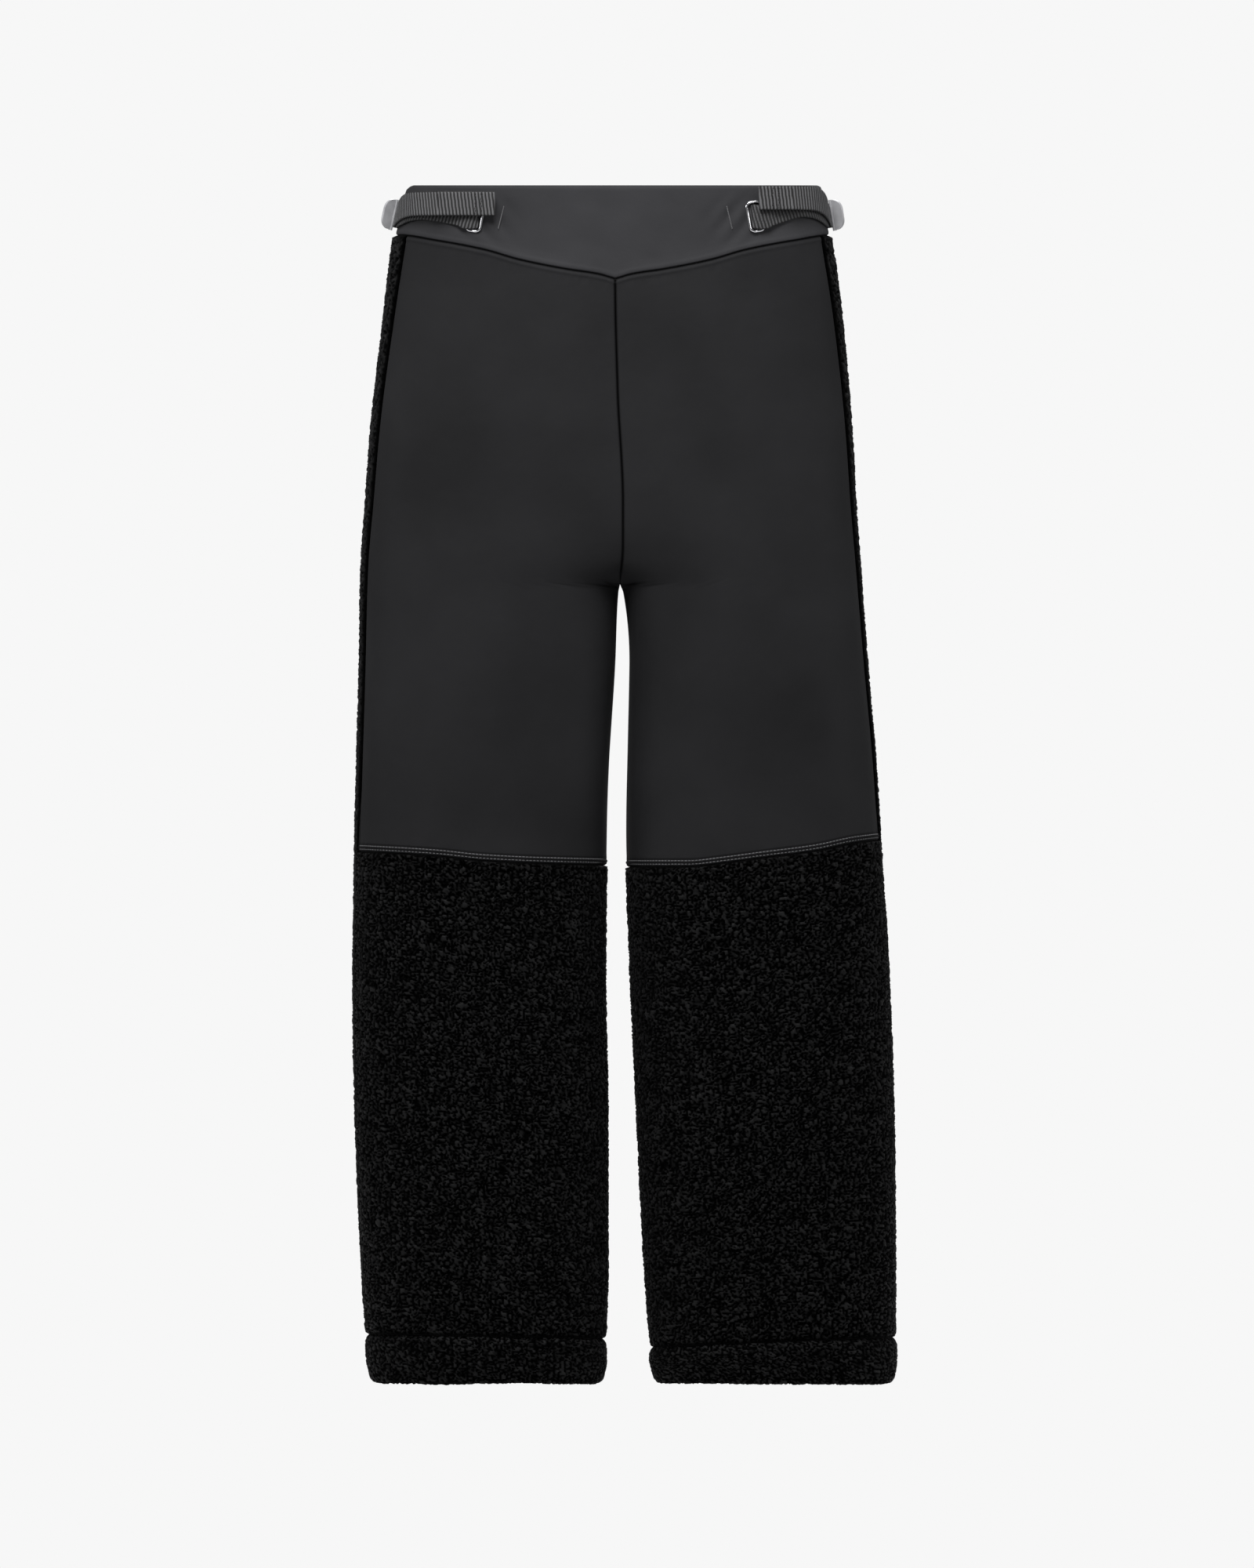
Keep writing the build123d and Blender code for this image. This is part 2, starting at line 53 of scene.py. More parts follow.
# ---- The body's shape, as in the CAD -----------------------------------------------------------
# Height, depth in front and behind, and each leg's outer and inner distance from the centre plane.
ROWS = np.array([
    (10, 52, 52, 169.5, -260, 171, -260),
    (0, 52, 52, 171, -260, 173, -260),
    (-45, 52, 60, 178, -260, 183, -260),
    (-110, 58, 70, 186, -260, 191, -260),
    (-200, 65, 84, 194, -260, 201, -260),
    (-270, 69, 86, 198, -190, 206, -190),
    (-310, 71, 83, 201, -60, 209, -60),
    (-335, 71, 80, 203, 2, 210, 1),
    (-400, 71, 74, 208, 9, 211, 3),
    (-480, 69, 66, 215, 9, 213, 6),
    (-560, 66, 58, 220, 11, 215, 9),
    (-660, 62, 58, 226, 15, 216, 10),
    (-780, 58, 61, 230, 21, 214, 8),
    (-900, 55, 56, 231, 27, 209, 8),
    (-999, 52, 52, 231, 34, 202, 11),
    (-1010, 52, 52, 231, 35, 201, 11),
], float)
OUTER = {"left": 3, "right": 5}
POWER = 2 / 2.5
LEAST_INNER = 4
SIDE_SEAM = {"left": (-26, 14, 10), "right": (-30, -2, 10)}
YOKE_SEAM = ((0, -78), (14, -74), (40, -70), (80, -62), (108, -54), (150, -46), (178, -42), (260, -42))
KNEE_SEAM = {
    "left": ((-5, -567), (60, -567), (90, -564), (120, -560), (166, -554), (200, -547), (245, -542)),
    "right": ((-5, -566), (70, -564), (110, -562), (150, -558), (200, -555), (245, -553)),
}
# The groove over the turned-up hem: its height at the leg's middle, and how it climbs to the side.
HEM_LINE = {"left": (-962.5, 4.2, 131, 103), "right": (-957.5, 1.8, 109.5, 98)}
STRAP_Z = -26
# The front seam wanders a little to the wearer's left on its way down to the crotch.
SEAM_SHIFT = (
    (-1000, 0), (-560, 0), (-480, 1), (-400, 3), (-331, 4),
    (-302, 6.5), (-265, 6.5), (-170, 2), (-78, 0), (0, 0),
)
WAIST_BACK_Z = -42.0  # the lower edge of the waistband's back
PANEL_INSIDE = -1.6  # the inner face of the leg's cloth, from the body's surface
KNEE_ROWS = (2.2, 5.0)  # the two stitch rows, above the knee seam


def pchip(x, xs, ys):
    """A smooth curve through points that never overshoots them; xs rise."""
    h, d = np.diff(xs), np.diff(ys) / np.diff(xs)
    m = np.zeros(len(xs))
    m[0], m[-1] = d[0], d[-1]
    same = d[:-1] * d[1:] > 0
    w1, w2 = 2 * h[1:] + h[:-1], h[1:] + 2 * h[:-1]
    safe = np.where(same, d[:-1] * d[1:], 1)
    m[1:-1] = np.where(same, (w1 + w2) * safe / np.where(same, w1 * d[1:] + w2 * d[:-1], 1), 0)
    k = np.clip(np.searchsorted(xs, x) - 1, 0, len(xs) - 2)
    t = (np.clip(x, xs[0], xs[-1]) - xs[k]) / h[k]
    a, b = (1 + 2 * t) * (1 - t) ** 2, t * (1 - t) ** 2
    c, e = t * t * (3 - 2 * t), t * t * (t - 1)
    return a * ys[k] + b * h[k] * m[k] + c * ys[k + 1] + e * h[k] * m[k + 1]


def row_at(z):
    """Each column of ROWS at the heights z."""
    up = ROWS[::-1]
    return [pchip(np.asarray(z, float), up[:, 0], up[:, i]) for i in range(1, 7)]


def through(points, x):
    """A smooth curve through (x, z) points, whose x rise."""
    p = np.array(points, float)
    return pchip(np.asarray(x, float), p[:, 0], p[:, 1])


def hem_top(side, x):
    height, climb, middle, half = HEM_LINE[side]
    return height + climb * np.clip((np.asarray(x, float) - middle) / half, -1, 1)


def smooth(t):
    t = np.clip(t, 0, 1)
    return t * t * (3 - 2 * t)


# ---- Noise, with no randomness that isn't seeded -----------------------------------------------


def hashed(i, j, seed):
    """A number from 0 to 1 for each pair of whole numbers."""
    n = (i.astype(np.int64) * 374761393 + j.astype(np.int64) * 668265263 + seed * 2147483) & 0xFFFFFFFF
    n = ((n ^ (n >> 13)) * 1274126177) & 0xFFFFFFFF
    n = ((n ^ (n >> 16)) * 2246822519) & 0xFFFFFFFF
    return ((n ^ (n >> 15)) & 0xFFFFFF) / 0xFFFFFF


def ripple(x, y, seed):
    """Smooth noise from -1 to 1, about one bump to each unit."""
    i, j = np.floor(x), np.floor(y)
    u, v = smooth(x - i), smooth(y - j)
    a, b = hashed(i, j, seed), hashed(i + 1, j, seed)
    c, d = hashed(i, j + 1, seed), hashed(i + 1, j + 1, seed)
    return 2 * ((a * (1 - u) + b * u) * (1 - v) + (c * (1 - u) + d * u) * v) - 1


def nubs(s, z, seed, size=3.9):
    """The height, 0 to 1, of a sherpa pile's curls over the flat cloth."""
    s = s + 1.8 * ripple(s / 7, z / 7, seed + 1) + 0.9 * ripple(s / 2.6, z / 2.6, seed + 5)
    z = z + 1.8 * ripple(s / 7, z / 7, seed + 2) + 0.9 * ripple(s / 2.6, z / 2.6, seed + 6)
    p, q = s / size, (z + 0.35 * s) / (size * 0.78)
    i, j = np.floor(p), np.floor(q)
    near, second = np.full(s.shape, 9.0), np.full(s.shape, 9.0)
    tall = np.zeros(s.shape)
    for di in (-1, 0, 1):
        for dj in (-1, 0, 1):
            ci, cj = i + di, j + dj
            dx = p - ci - 0.1 - 0.8 * hashed(ci, cj, seed)
            dz = q - cj - 0.1 - 0.8 * hashed(ci, cj, seed + 11)
            turn = 3.1416 * hashed(ci, cj, seed + 31)
            a, b = dx * np.cos(turn) + dz * np.sin(turn), dz * np.cos(turn) - dx * np.sin(turn)
            d = np.sqrt((0.72 * a) ** 2 + (1.25 * b) ** 2)
            closer = d < near
            second = np.where(closer, near, np.minimum(second, d))
            tall = np.where(closer, 0.68 + 0.32 * hashed(ci, cj, seed + 23), tall)
            near = np.where(closer, d, near)
    dome = np.sqrt(np.clip(1 - (near / 1.05) ** 2, 0, 1))
    return tall * dome * (0.2 + 0.8 * smooth((second - near) / 0.3))


# ---- Cloth laid over the body ------------------------------------------------------------------
LEVELS = np.arange(8, -1006, -2.0)
COLUMNS = 241


class Region:
    """Part of the body's surface, with u from 0 to 1 round it and z down it."""

    def __init__(self, rings):
        self.xy = np.array(rings)
        step = np.diff(self.xy, axis=1)
        self.length = np.hypot(step[..., 0], step[..., 1]).sum(axis=1)
        t = np.gradient(self.xy, axis=1)
        t /= np.maximum(np.hypot(t[..., 0], t[..., 1]), 1e-9)[..., None]
        normal = np.stack([t[..., 1], -t[..., 0]], -1)
        away = self.xy - self.xy.mean(axis=1, keepdims=True)
        turn = np.sign((normal * away).sum(-1).mean(axis=1))
        self.normal = normal * turn[:, None, None]

    def at(self, u, z, gap):
        """x and y of the points gap outside the surface."""
        r = np.clip((LEVELS[0] - z) / 2.0, 0, len(LEVELS) - 1.001)
        c = np.clip(u, 0, 1) * (COLUMNS - 1.001)
        i, j = r.astype(int), c.astype(int)
        a, b = (r - i)[..., None], (c - j)[..., None]

        def mix(t):
            near = t[i, j] * (1 - a) + t[i + 1, j] * a
            far = t[i, j + 1] * (1 - a) + t[i + 1, j + 1] * a
            return near * (1 - b) + far * b

        p = mix(self.xy) + mix(self.normal) * np.asarray(gap)[..., None]
        return p[..., 0], p[..., 1]

    def length_at(self, z):
        return np.interp(-np.asarray(z, float), -LEVELS, self.length)


def sections(side, angles):
    """The body's outline at every level, on the positive side."""
    front, back, *rest = row_at(LEVELS)
    outer, inner = rest[:2] if side == "left" else rest[2:]
    middle = (outer + np.maximum(inner, LEAST_INNER)) / 2
    c, s = np.cos(angles)[None], np.sin(angles)[None]
    across = np.where(c > 0, (outer - middle)[:, None], (middle - inner)[:, None])
    depth = np.where(s > 0, back[:, None], front[:, None])
    x = middle[:, None] + across * np.sign(c) * np.abs(c) ** POWER
    return x, depth * np.sign(s) * np.abs(s) ** POWER


def seam_side(side, x, y, z):
    """Below zero in front of the side seam's plane."""
    top, bottom, inner = SIDE_SEAM[side]
    outer_top = ROWS[2][OUTER[side]]
    per_z = (top - bottom) / 954
    at_centre = inner + per_z * 335
    per_x = (top + per_z * 45 - at_centre) / outer_top
    return y - at_centre - per_x * x - per_z * z


def span(x, y, keep, start):
    """The stretch of an outline round its start index where keep is above zero, resampled evenly."""
    lo = hi = start
    while lo > 0 and keep[lo - 1] > 0:
        lo -= 1
    while hi < len(x) - 1 and keep[hi + 1] > 0:
        hi += 1
    xs, ys = list(x[lo:hi + 1]), list(y[lo:hi + 1])
    for k, (edge, out) in enumerate(((lo, lo - 1), (hi, hi + 1))):
        if 0 <= out < len(x):
            t = keep[edge] / (keep[edge] - keep[out])
            p = (x[edge] + (x[out] - x[edge]) * t, y[edge] + (y[out] - y[edge]) * t)
            xs.insert(0, p[0]) if k == 0 else xs.append(p[0])
            ys.insert(0, p[1]) if k == 0 else ys.append(p[1])
    xs, ys = np.array(xs), np.array(ys)
    s = np.concatenate([[0], np.cumsum(np.hypot(np.diff(xs), np.diff(ys)))])
    even = np.linspace(0, s[-1], COLUMNS)
    return np.stack([np.interp(even, s, xs), np.interp(even, s, ys)], -1)


def region(side, front):
    """One half's front or back, u running from the outer seam to the inner one."""
    turn = -1 if front else 1
    angles = turn * np.linspace(-0.35 * np.pi, 1.35 * np.pi, 1300)
    x, y = sections(side, angles)
    start = int(1300 * 0.85 / 1.7)
    rings = []
    for k, z in enumerate(LEVELS):
        keep = -seam_side(side, x[k], y[k], z) if front else seam_side(side, x[k], y[k], z)
        rings.append(span(x[k], y[k], np.minimum(keep, x[k] + 1e-6), start))
    return Region(rings)


def waist_region(front):
    """The waistband's front or back, u running from the wearer's right to the left."""
    turn = -1 if front else 1
    angles = turn * np.linspace(0, np.pi, 1300)
    halves = {side: sections(side, angles) for side in SIDES}
    rings = []
    for k in range(len(LEVELS)):
        parts = []
        for side in SIDES:
            x, y = halves[side][0][k], halves[side][1][k]
            parts.append(span(x, y, x + 1e-6, 300))
        left, right = parts
        line = np.concatenate([right * (-1, 1), left[::-1][1:]])
        s = np.concatenate([[0], np.cumsum(np.hypot(*np.diff(line, axis=0).T))])
        even = np.linspace(0, s[-1], COLUMNS)
        rings.append(np.stack([np.interp(even, s, line[:, 0]), np.interp(even, s, line[:, 1])], -1))
    return Region(rings)


def shifted(x, z):
    """Moves points near the centre with the front seam."""
    p = np.array(SEAM_SHIFT, float)
    return x + pchip(z, p[:, 0], p[:, 1]) * (1 - smooth((np.abs(x) - 15) / 110))


def mesh_object(name, verts, faces, pile=None, shade=True):
    """An object from points in millimetres."""
    mesh = bpy.data.meshes.new(name)
    mesh.from_pydata((np.asarray(verts) * MM).tolist(), [], faces)
    mesh.update()
    if pile is not None:
        layer = mesh.attributes.new("pile", "FLOAT", "POINT")
        layer.data.foreach_set("value", np.asarray(pile, np.float32))
    if shade:
        mesh.shade_smooth()
    obj = bpy.data.objects.new(name, mesh)
    bpy.context.scene.collection.objects.link(obj)
    return obj


def on_centre(x, x0, halves):
    """Keeps one half's points on its own side of the centre plane, and its edge on the plane."""
    if not halves:
        return x
    held = smooth((x0 - 0.3) / 9)
    return np.maximum(x * held + x0 * (1 - held), 0) - 0.12 * (1 - smooth(x0 / 3))


def packed(t, amount):
    """Even steps from 0 to 1 drawn together towards both ends."""
    return t - amount * np.sin(2 * np.pi * t) / (2 * np.pi)


def shell(name, area, mirror, top, bottom, across, down, outer, inner, every=4, pack=0.0, halves=True):
    """A closed piece of cloth over a region, fine outside and coarser inside.

    top and bottom give the heights of its ends from x; outer gives the outside's gap and its pile
    from the distances to the nearest side and end and from s and z, all in millimetres."""
    nu, nv = across * every, down * every
    u = packed(np.linspace(0, 1, nu + 1), pack)[None] * np.ones((nv + 1, 1))
    v = packed(np.linspace(0, 1, nv + 1), pack)[:, None] * np.ones((1, nu + 1))
    z = np.full(u.shape, -500.0)
    for _ in range(4):
        x, _ = area.at(u, z, np.zeros(u.shape))
        a, b = top(np.abs(x)), bottom(np.abs(x))
        z = a + (b - a) * v
    length = area.length_at(z)
    s = u * length
    side_edge = np.minimum(u, 1 - u) * length
    end_edge = np.minimum(v, 1 - v) * np.abs(a - b)
    # pile is the colour attribute, which carries painted shade in creases and valleys and painted highlight on
    # tips and lips.
    gap, pile, lift = outer(side_edge, end_edge, s, z, u, v)
    x0, _ = area.at(u, z, np.zeros(u.shape))
    x, y = area.at(u, z, gap)
    x = on_centre(x, x0, halves)
    sign = -1 if mirror else 1
    fine = np.stack([shifted(sign * x, z + lift), y, z + lift], -1)
    pick = (slice(None, None, every), slice(None, None, every))
    uc, zc = u[pick], z[pick]
    xi, yi = area.at(uc, zc, np.full(uc.shape, float(inner)))
    xi = on_centre(xi, x0[pick], halves)
    coarse = np.stack([shifted(sign * xi, zc), yi, zc], -1)
    n1, n2 = (nv + 1) * (nu + 1), nu + 1
    m2 = across + 1
    f = []
    r, c = np.meshgrid(np.arange(nv), np.arange(nu), indexing="ij")
    p = (r * n2 + c).ravel()
    f += np.stack([p, p + n2, p + n2 + 1, p + 1], -1).tolist()
    r, c = np.meshgrid(np.arange(down), np.arange(across), indexing="ij")
    q = (n1 + r * m2 + c).ravel()
    f += np.stack([q, q + 1, q + m2 + 1, q + m2], -1).tolist()
    for k in range(across):
        for edge, row, out in ((0, 0, 1), (nv, down, -1)):
            dense = [edge * n2 + k * every + i for i in range(every + 1)]
            thin = [n1 + row * m2 + k, n1 + row * m2 + k + 1]
            f.append((dense + thin[::-1])[::out])
    for k in range(down):
        for edge, col, out in ((0, 0, -1), (nu, across, 1)):
            dense = [(k * every + i) * n2 + edge for i in range(every + 1)]
            thin = [n1 + k * m2 + col, n1 + (k + 1) * m2 + col]
            f.append((dense + thin[::-1])[::out])
    verts = np.concatenate([fine.reshape(-1, 3), coarse.reshape(-1, 3)])
    low = np.concatenate([pile.ravel(), np.full(coarse.size // 3, 0.25)])
    # The grid's own turn decides which way its faces look.
    mid = (nv // 2) * n2 + nu // 2
    n = np.cross(verts[mid + n2] - verts[mid], verts[mid + 1] - verts[mid])
    centre = verts[:n1].mean(axis=0)
    if n @ (verts[mid] - centre) < 0:
        f = [face[::-1] for face in f]
    return mesh_object(name, verts, f, low)


# ---- Materials ---------------------------------------------------------------------------------


def material(name, colour, rough, specular=0.2, metallic=0.0, sheen=0.0):
    mat = bpy.data.materials.new(name)
    mat.use_nodes = True
    mat.diffuse_color = (*colour, 1)
    shader = mat.node_tree.nodes["Principled BSDF"]
    shader.inputs["Base Color"].default_value = (*colour, 1)
    shader.inputs["Roughness"].default_value = rough
    shader.inputs["Specular IOR Level"].default_value = specular
    shader.inputs["Metallic"].default_value = metallic
    if sheen:
        shader.inputs["Sheen Weight"].default_value = sheen
        shader.inputs["Sheen Roughness"].default_value = 0.5
        shader.inputs["Sheen Tint"].default_value = (0.8, 0.8, 0.82, 1)
    return mat, mat.node_tree, shader


def link(tree, a, out, b, into):
    tree.links.new(a.outputs[out], b.inputs[into])


def noise_node(tree, scale, detail=2.0, stretch=None):
    """Noise in the object's own metres; scale is bumps to the metre."""
    coords = tree.nodes.new("ShaderNodeTexCoord")
    tex = tree.nodes.new("ShaderNodeTexNoise")
    tex.inputs["Scale"].default_value = scale
    tex.inputs["Detail"].default_value = detail
    if stretch:
        mapping = tree.nodes.new("ShaderNodeMapping")
        mapping.inputs["Scale"].default_value = stretch
        link(tree, coords, "Object", mapping, "Vector")
        link(tree, mapping, "Vector", tex, "Vector")
    else:
        link(tree, coords, "Object", tex, "Vector")
    return tex


def ramp(tree, source, out, stops):
    node = tree.nodes.new("ShaderNodeValToRGB")
    for k, (where, colour) in enumerate(stops):
        stop = node.color_ramp.elements[k] if k < 2 else node.color_ramp.elements.new(where)
        stop.position, stop.color = where, (*colour, 1)
    link(tree, source, out, node, "Fac")
    return node


def bump(tree, shader, source, out, depth, strength=1.0, under=None):
    node = tree.nodes.new("ShaderNodeBump")
    node.inputs["Strength"].default_value = strength
    node.inputs["Distance"].default_value = depth
    link(tree, source, out, node, "Height")
    if under is not None:
        link(tree, under, "Normal", node, "Normal")
    link(tree, node, "Normal", shader, "Normal")
    return node


def grey(*values):
    return [(v, v, v * 1.04) for v in values]


def softshell(name, low, high):
    mat, tree, shader = material(name, grey(high)[0], 0.66, 0.09, sheen=0.02)
    # Lighter and darker cloudy patches: painted shading of soft folds.
    fold_shade_patches = ramp(tree, noise_node(tree, 9, 3), "Fac", list(zip((0.3, 0.7), grey(low, high))))
    # The pile attribute here is painted crease shade: near black in a seam's crease, plain at 0.25, lighter
    # above that as a painted highlight on a seam's lip.
    crease = tree.nodes.new("ShaderNodeAttribute")
    crease.attribute_name = "pile"
    shade = ramp(tree, crease, "Fac", list(zip((0.0, 0.25, 1.0), grey(0.02, 1.0, 1.9))))
    tone = tree.nodes.new("ShaderNodeVectorMath")
    tone.operation = "MULTIPLY"
    link(tree, fold_shade_patches, "Color", tone, 0)
    link(tree, shade, "Color", tone, 1)
    link(tree, tone, "Vector", shader, "Base Color")
    # Reflection is cut in the creases as well, as painted shade.
    gloss = ramp(tree, crease, "Fac", list(zip((0.0, 0.25), grey(0.0, 0.09))))
    link(tree, gloss, "Color", shader, "Specular IOR Level")
    weave = noise_node(tree, 2600, 1)
    first = bump(tree, shader, weave, "Fac", 0.00010, 0.55)
    bump(tree, shader, noise_node(tree, 90, 3), "Fac", 0.0006, 0.5, first)
    return mat


def fleece():
    mat, tree, shader = material("Sherpa_Fleece", (0.010, 0.010, 0.0105), 0.55, 0.10, sheen=0.03)
    pile = tree.nodes.new("ShaderNodeAttribute")
    pile.attribute_name = "pile"
    # Painted light on the curls: near black in the valleys as painted shade, lighter tips as painted highlight.
    lit_tips_shaded_valleys = ramp(tree, pile, "Fac", list(zip((0.2, 0.6, 1.0), grey(0.0001, 0.0009, 0.0075))))
    link(tree, lit_tips_shaded_valleys, "Color", shader, "Base Color")
    # Reflection only on the tips, painted shade in the valleys.
    gloss = ramp(tree, pile, "Fac", list(zip((0.5, 1.0), grey(0.0, 0.10))))
    link(tree, gloss, "Color", shader, "Specular IOR Level")
    first = bump(tree, shader, noise_node(tree, 1500, 3), "Fac", 0.0002, 0.6)
    bump(tree, shader, noise_node(tree, 520, 2), "Fac", 0.0006, 0.5, first)
    return mat


def webbing_material():
    mat, tree, shader = material("Webbing", (0.06, 0.06, 0.06), 0.55, 0.22, sheen=0.05)
    pile = tree.nodes.new("ShaderNodeAttribute")
    pile.attribute_name = "pile"
    # Painted light on the ribs: gaps between ribs and the edges dark as painted shade, crests lighter as
    # painted highlight.
    tone = ramp(tree, pile, "Fac", list(zip((0.0, 0.5, 1.0), grey(0.002, 0.015, 0.103))))
    link(tree, tone, "Color", shader, "Base Color")
    fibres = noise_node(tree, 1800, 2, (1, 1, 0.35))
    bump(tree, shader, fibres, "Fac", 0.00022, 0.9)
    return mat


def plain_cloth(name, low, high, rough=0.8, scale=1400, depth=0.0002, specular=0.2):
    mat, tree, shader = material(name, grey(high)[0], rough, specular, sheen=0.1)
    tone = ramp(tree, noise_node(tree, 60, 3), "Fac", list(zip((0.3, 0.7), grey(low, high))))
    link(tree, tone, "Color", shader, "Base Color")
    bump(tree, shader, noise_node(tree, scale, 2), "Fac", depth, 0.8)
    return mat


def metal(name, low, high, rough, scale, depth, metallic=1.0):
    mat, tree, shader = material(name, grey(high)[0], rough, 0.5, metallic=metallic)
    wear = noise_node(tree, scale, 4)
    tone = ramp(tree, wear, "Fac", list(zip((0.3, 0.75), grey(low, high))))
    link(tree, tone, "Color", shader, "Base Color")
    rough_ramp = ramp(tree, wear, "Fac", list(zip((0.3, 0.8), grey(rough * 0.8, min(rough * 1.3, 1)))))
    link(tree, rough_ramp, "Color", shader, "Roughness")
    bump(tree, shader, noise_node(tree, scale * 6, 2), "Fac", depth, 0.5)
    return mat


# The waistband's softshell is the thighs' cloth drawn about two and a half times lighter: painted light,
# standing for the brighter light at the top.
SOFTSHELL, LIT_YOKE = softshell("Softshell", 0.0085, 0.0132), softshell("Softshell_Yoke_Lit", 0.0215, 0.0305)
FLEECE, WEBBING = fleece(), webbing_material()
LINING = plain_cloth("Lining", 0.012, 0.018)
THREAD = plain_cloth("Thread", 0.07, 0.11, 0.6, 2500, 0.0001, 0.3)
DARK_THREAD = plain_cloth("Dark_Thread", 0.006, 0.010, 0.6, 2500, 0.0001, 0.2)
RIBBON = plain_cloth("Ribbon", 0.015, 0.025, 0.45, 1200, 0.0001, 0.35)
LABEL = plain_cloth("Label", 0.55, 0.66, 0.6, 1600, 0.00008, 0.3)
RING_METAL = metal("Ring_Metal", 0.62, 0.80, 0.16, 60, 0.00003)
BUCKLE_METAL = metal("Buckle_Metal", 0.38, 0.46, 0.42, 120, 0.00006, 0.35)


def finish_piece(obj, mat, body=None, nodes=()):
    obj.data.materials.append(mat)
    if body:
        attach(obj, body)
    if nodes:
        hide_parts(*nodes)
    return obj


# ---- Cloth pieces ------------------------------------------------------------------------------


def yoke(x):
    return through(YOKE_SEAM, x)


def waist_back(x):
    return np.full(np.shape(x), WAIST_BACK_Z)


def to_inseam(u, s):
    """The distance to the inner seam, from u and the distance s from the outer one."""
    return (1 - u) * s / np.maximum(u, 1e-6)


def folds(s, z, seed, amount):
    """Slow waves in hanging cloth, longer down than across."""
    return amount * (ripple(s / 70, z / 260, seed) + 0.5 * ripple(s / 34, z / 120, seed + 3))


def welt(edge, width, depth, lip):
    """A seam's own shape: the cloth dives into it within width, after a slight raised lip."""
    return -depth * (1 - smooth(edge / width)) + lip * np.exp(-(((edge - 2.2 * width) / (1.1 * width)) ** 2))


def painted_crease_shade(edge, width, lip=0.0):
    """The cloth attribute beside a seam, painted shade: 0 in its crease, 0.25 on plain cloth, and lip more as a
    painted highlight on the band beside it.
    """
    return 0.25 * smooth(edge / width) + lip * np.exp(-(((edge - 1.9 * width) / (0.6 * width)) ** 2))


def flare(inseam, z):
    """How far the cloth beside the inseam stands out round the knee, to lie flush with the shin's pile."""
    return 2.1 * (1 - smooth(inseam / 45)) * smooth((-470 - z) / 90) * smooth((z + 660) / 90)


def thigh_outer(side):
    seed = 5 if side == "left" else 8

    def outer(side_edge, end_edge, s, z, u, v):
        gap = folds(s, z, seed, 2.4) * smooth(side_edge / 45) * smooth(end_edge / 50)
        gap += welt(side_edge, 1.8, 1.1, 0.1) + welt(end_edge, 1.4, 1.2, 0.45)
        to_knee = end_edge * (v > 0.5) + 99 * (v <= 0.5)
        to_yoke = end_edge * (v <= 0.5) + 99 * (v > 0.5)
        inseam = to_inseam(u, s)
        # tone is painted shade: dark in the creases of the inseam, outer edge, knee seam and yoke seam, with a
        # painted highlight on the lip below the yoke seam.
        tone = np.minimum(painted_crease_shade(inseam, 2.2), painted_crease_shade(np.minimum(s, to_knee), 0.8))
        tone = np.minimum(tone, painted_crease_shade(to_yoke, 1.6)) + 0.10 * np.exp(-(((to_yoke - 3.0) / 0.9) ** 2))
        for row in KNEE_ROWS:
            gap -= 0.45 * np.exp(-(((to_knee - row) / 0.55) ** 2))
        # Painted shade in the dips beside the knee's two stitch rows.
        tone -= 0.2 * np.exp(-(((to_knee - 3.6) / 0.7) ** 2)) + 0.16 * np.exp(-(((to_knee - 6.6) / 0.6) ** 2))
        gap += 0.35 * smooth(1 - np.abs(to_knee - 3.4) / 3.6)
        pucker = ripple(s / 2.4, z * 0 + seed, seed) * 0.22
        gap += pucker * np.exp(-((end_edge - 5) / 4.0) ** 2) + flare(inseam, z)
        return gap, np.clip(tone, 0, 1), np.zeros(z.shape)

    return outer


def pile_outer(seed, tucked=False):
    def outer(side_edge, end_edge, s, z, u, v):
        inner_edge = to_inseam(u, s)
        end_room = np.where(v > 0.5, 5.0, 1.6)
        t = np.minimum(np.minimum(s / 0.9, inner_edge / 3.0), end_edge / end_room)
        rise = np.sqrt(np.clip(1 - (1 - np.clip(t, 0, 1)) ** 2, 0, 1))
        fold = folds(s, z, seed + 40, 0.9) * smooth(side_edge / 30) * smooth(end_edge / 30)
        if tucked:
            held_in = (1 - smooth(inner_edge / 45)) * smooth((z + 650) / 100) * smooth((-300 - z) / 30)
            rise = rise * (1 - held_in)
            fold = fold + flare(inner_edge, z)
        h = nubs(s, z, seed)
        gap = -0.8 + rise * (0.7 + 3.4 * h) + fold
        # The pile attribute fades where the cloth dives into a seam or is held in: painted shade there, besides
        # the curls' painted tip light.
        return gap, h * (0.2 + 0.8 * rise), np.zeros(z.shape)

    return outer


def build_legs():
    """The leg panels; gives back each side's front and back regions."""
    regions = {}
    for side in SIDES:
        mirror = side == "right"
        front, back = region(side, True), region(side, False)

        def knee(x):
            return through(KNEE_SEAM[side], x)

        def low(x):
            return hem_top(side, x)

        outer = thigh_outer(side)
        thigh = shell(f"Thigh_Panel_{side}", front, mirror, yoke, knee, 40, 84, outer, PANEL_INSIDE, pack=0.6)
        finish_piece(thigh, SOFTSHELL, "pants", [f"front_thigh_panel_{side}"])
        seed = 100 if mirror else 200
        shin = shell(f"Shin_Fleece_{side}", front, mirror, knee, low, 54, 86, pile_outer(seed), PANEL_INSIDE)
        finish_piece(shin, FLEECE, "pants", [f"front_shin_panel_{side}"])
        outer = pile_outer(seed + 7, True)
        rear = shell(f"Back_Fleece_{side}", back, mirror, waist_back, low, 38, 132, outer, PANEL_INSIDE)
        finish_piece(rear, FLEECE, "pants", [f"back_panel_{side}"])
        regions[side] = (front, back)
    return regions


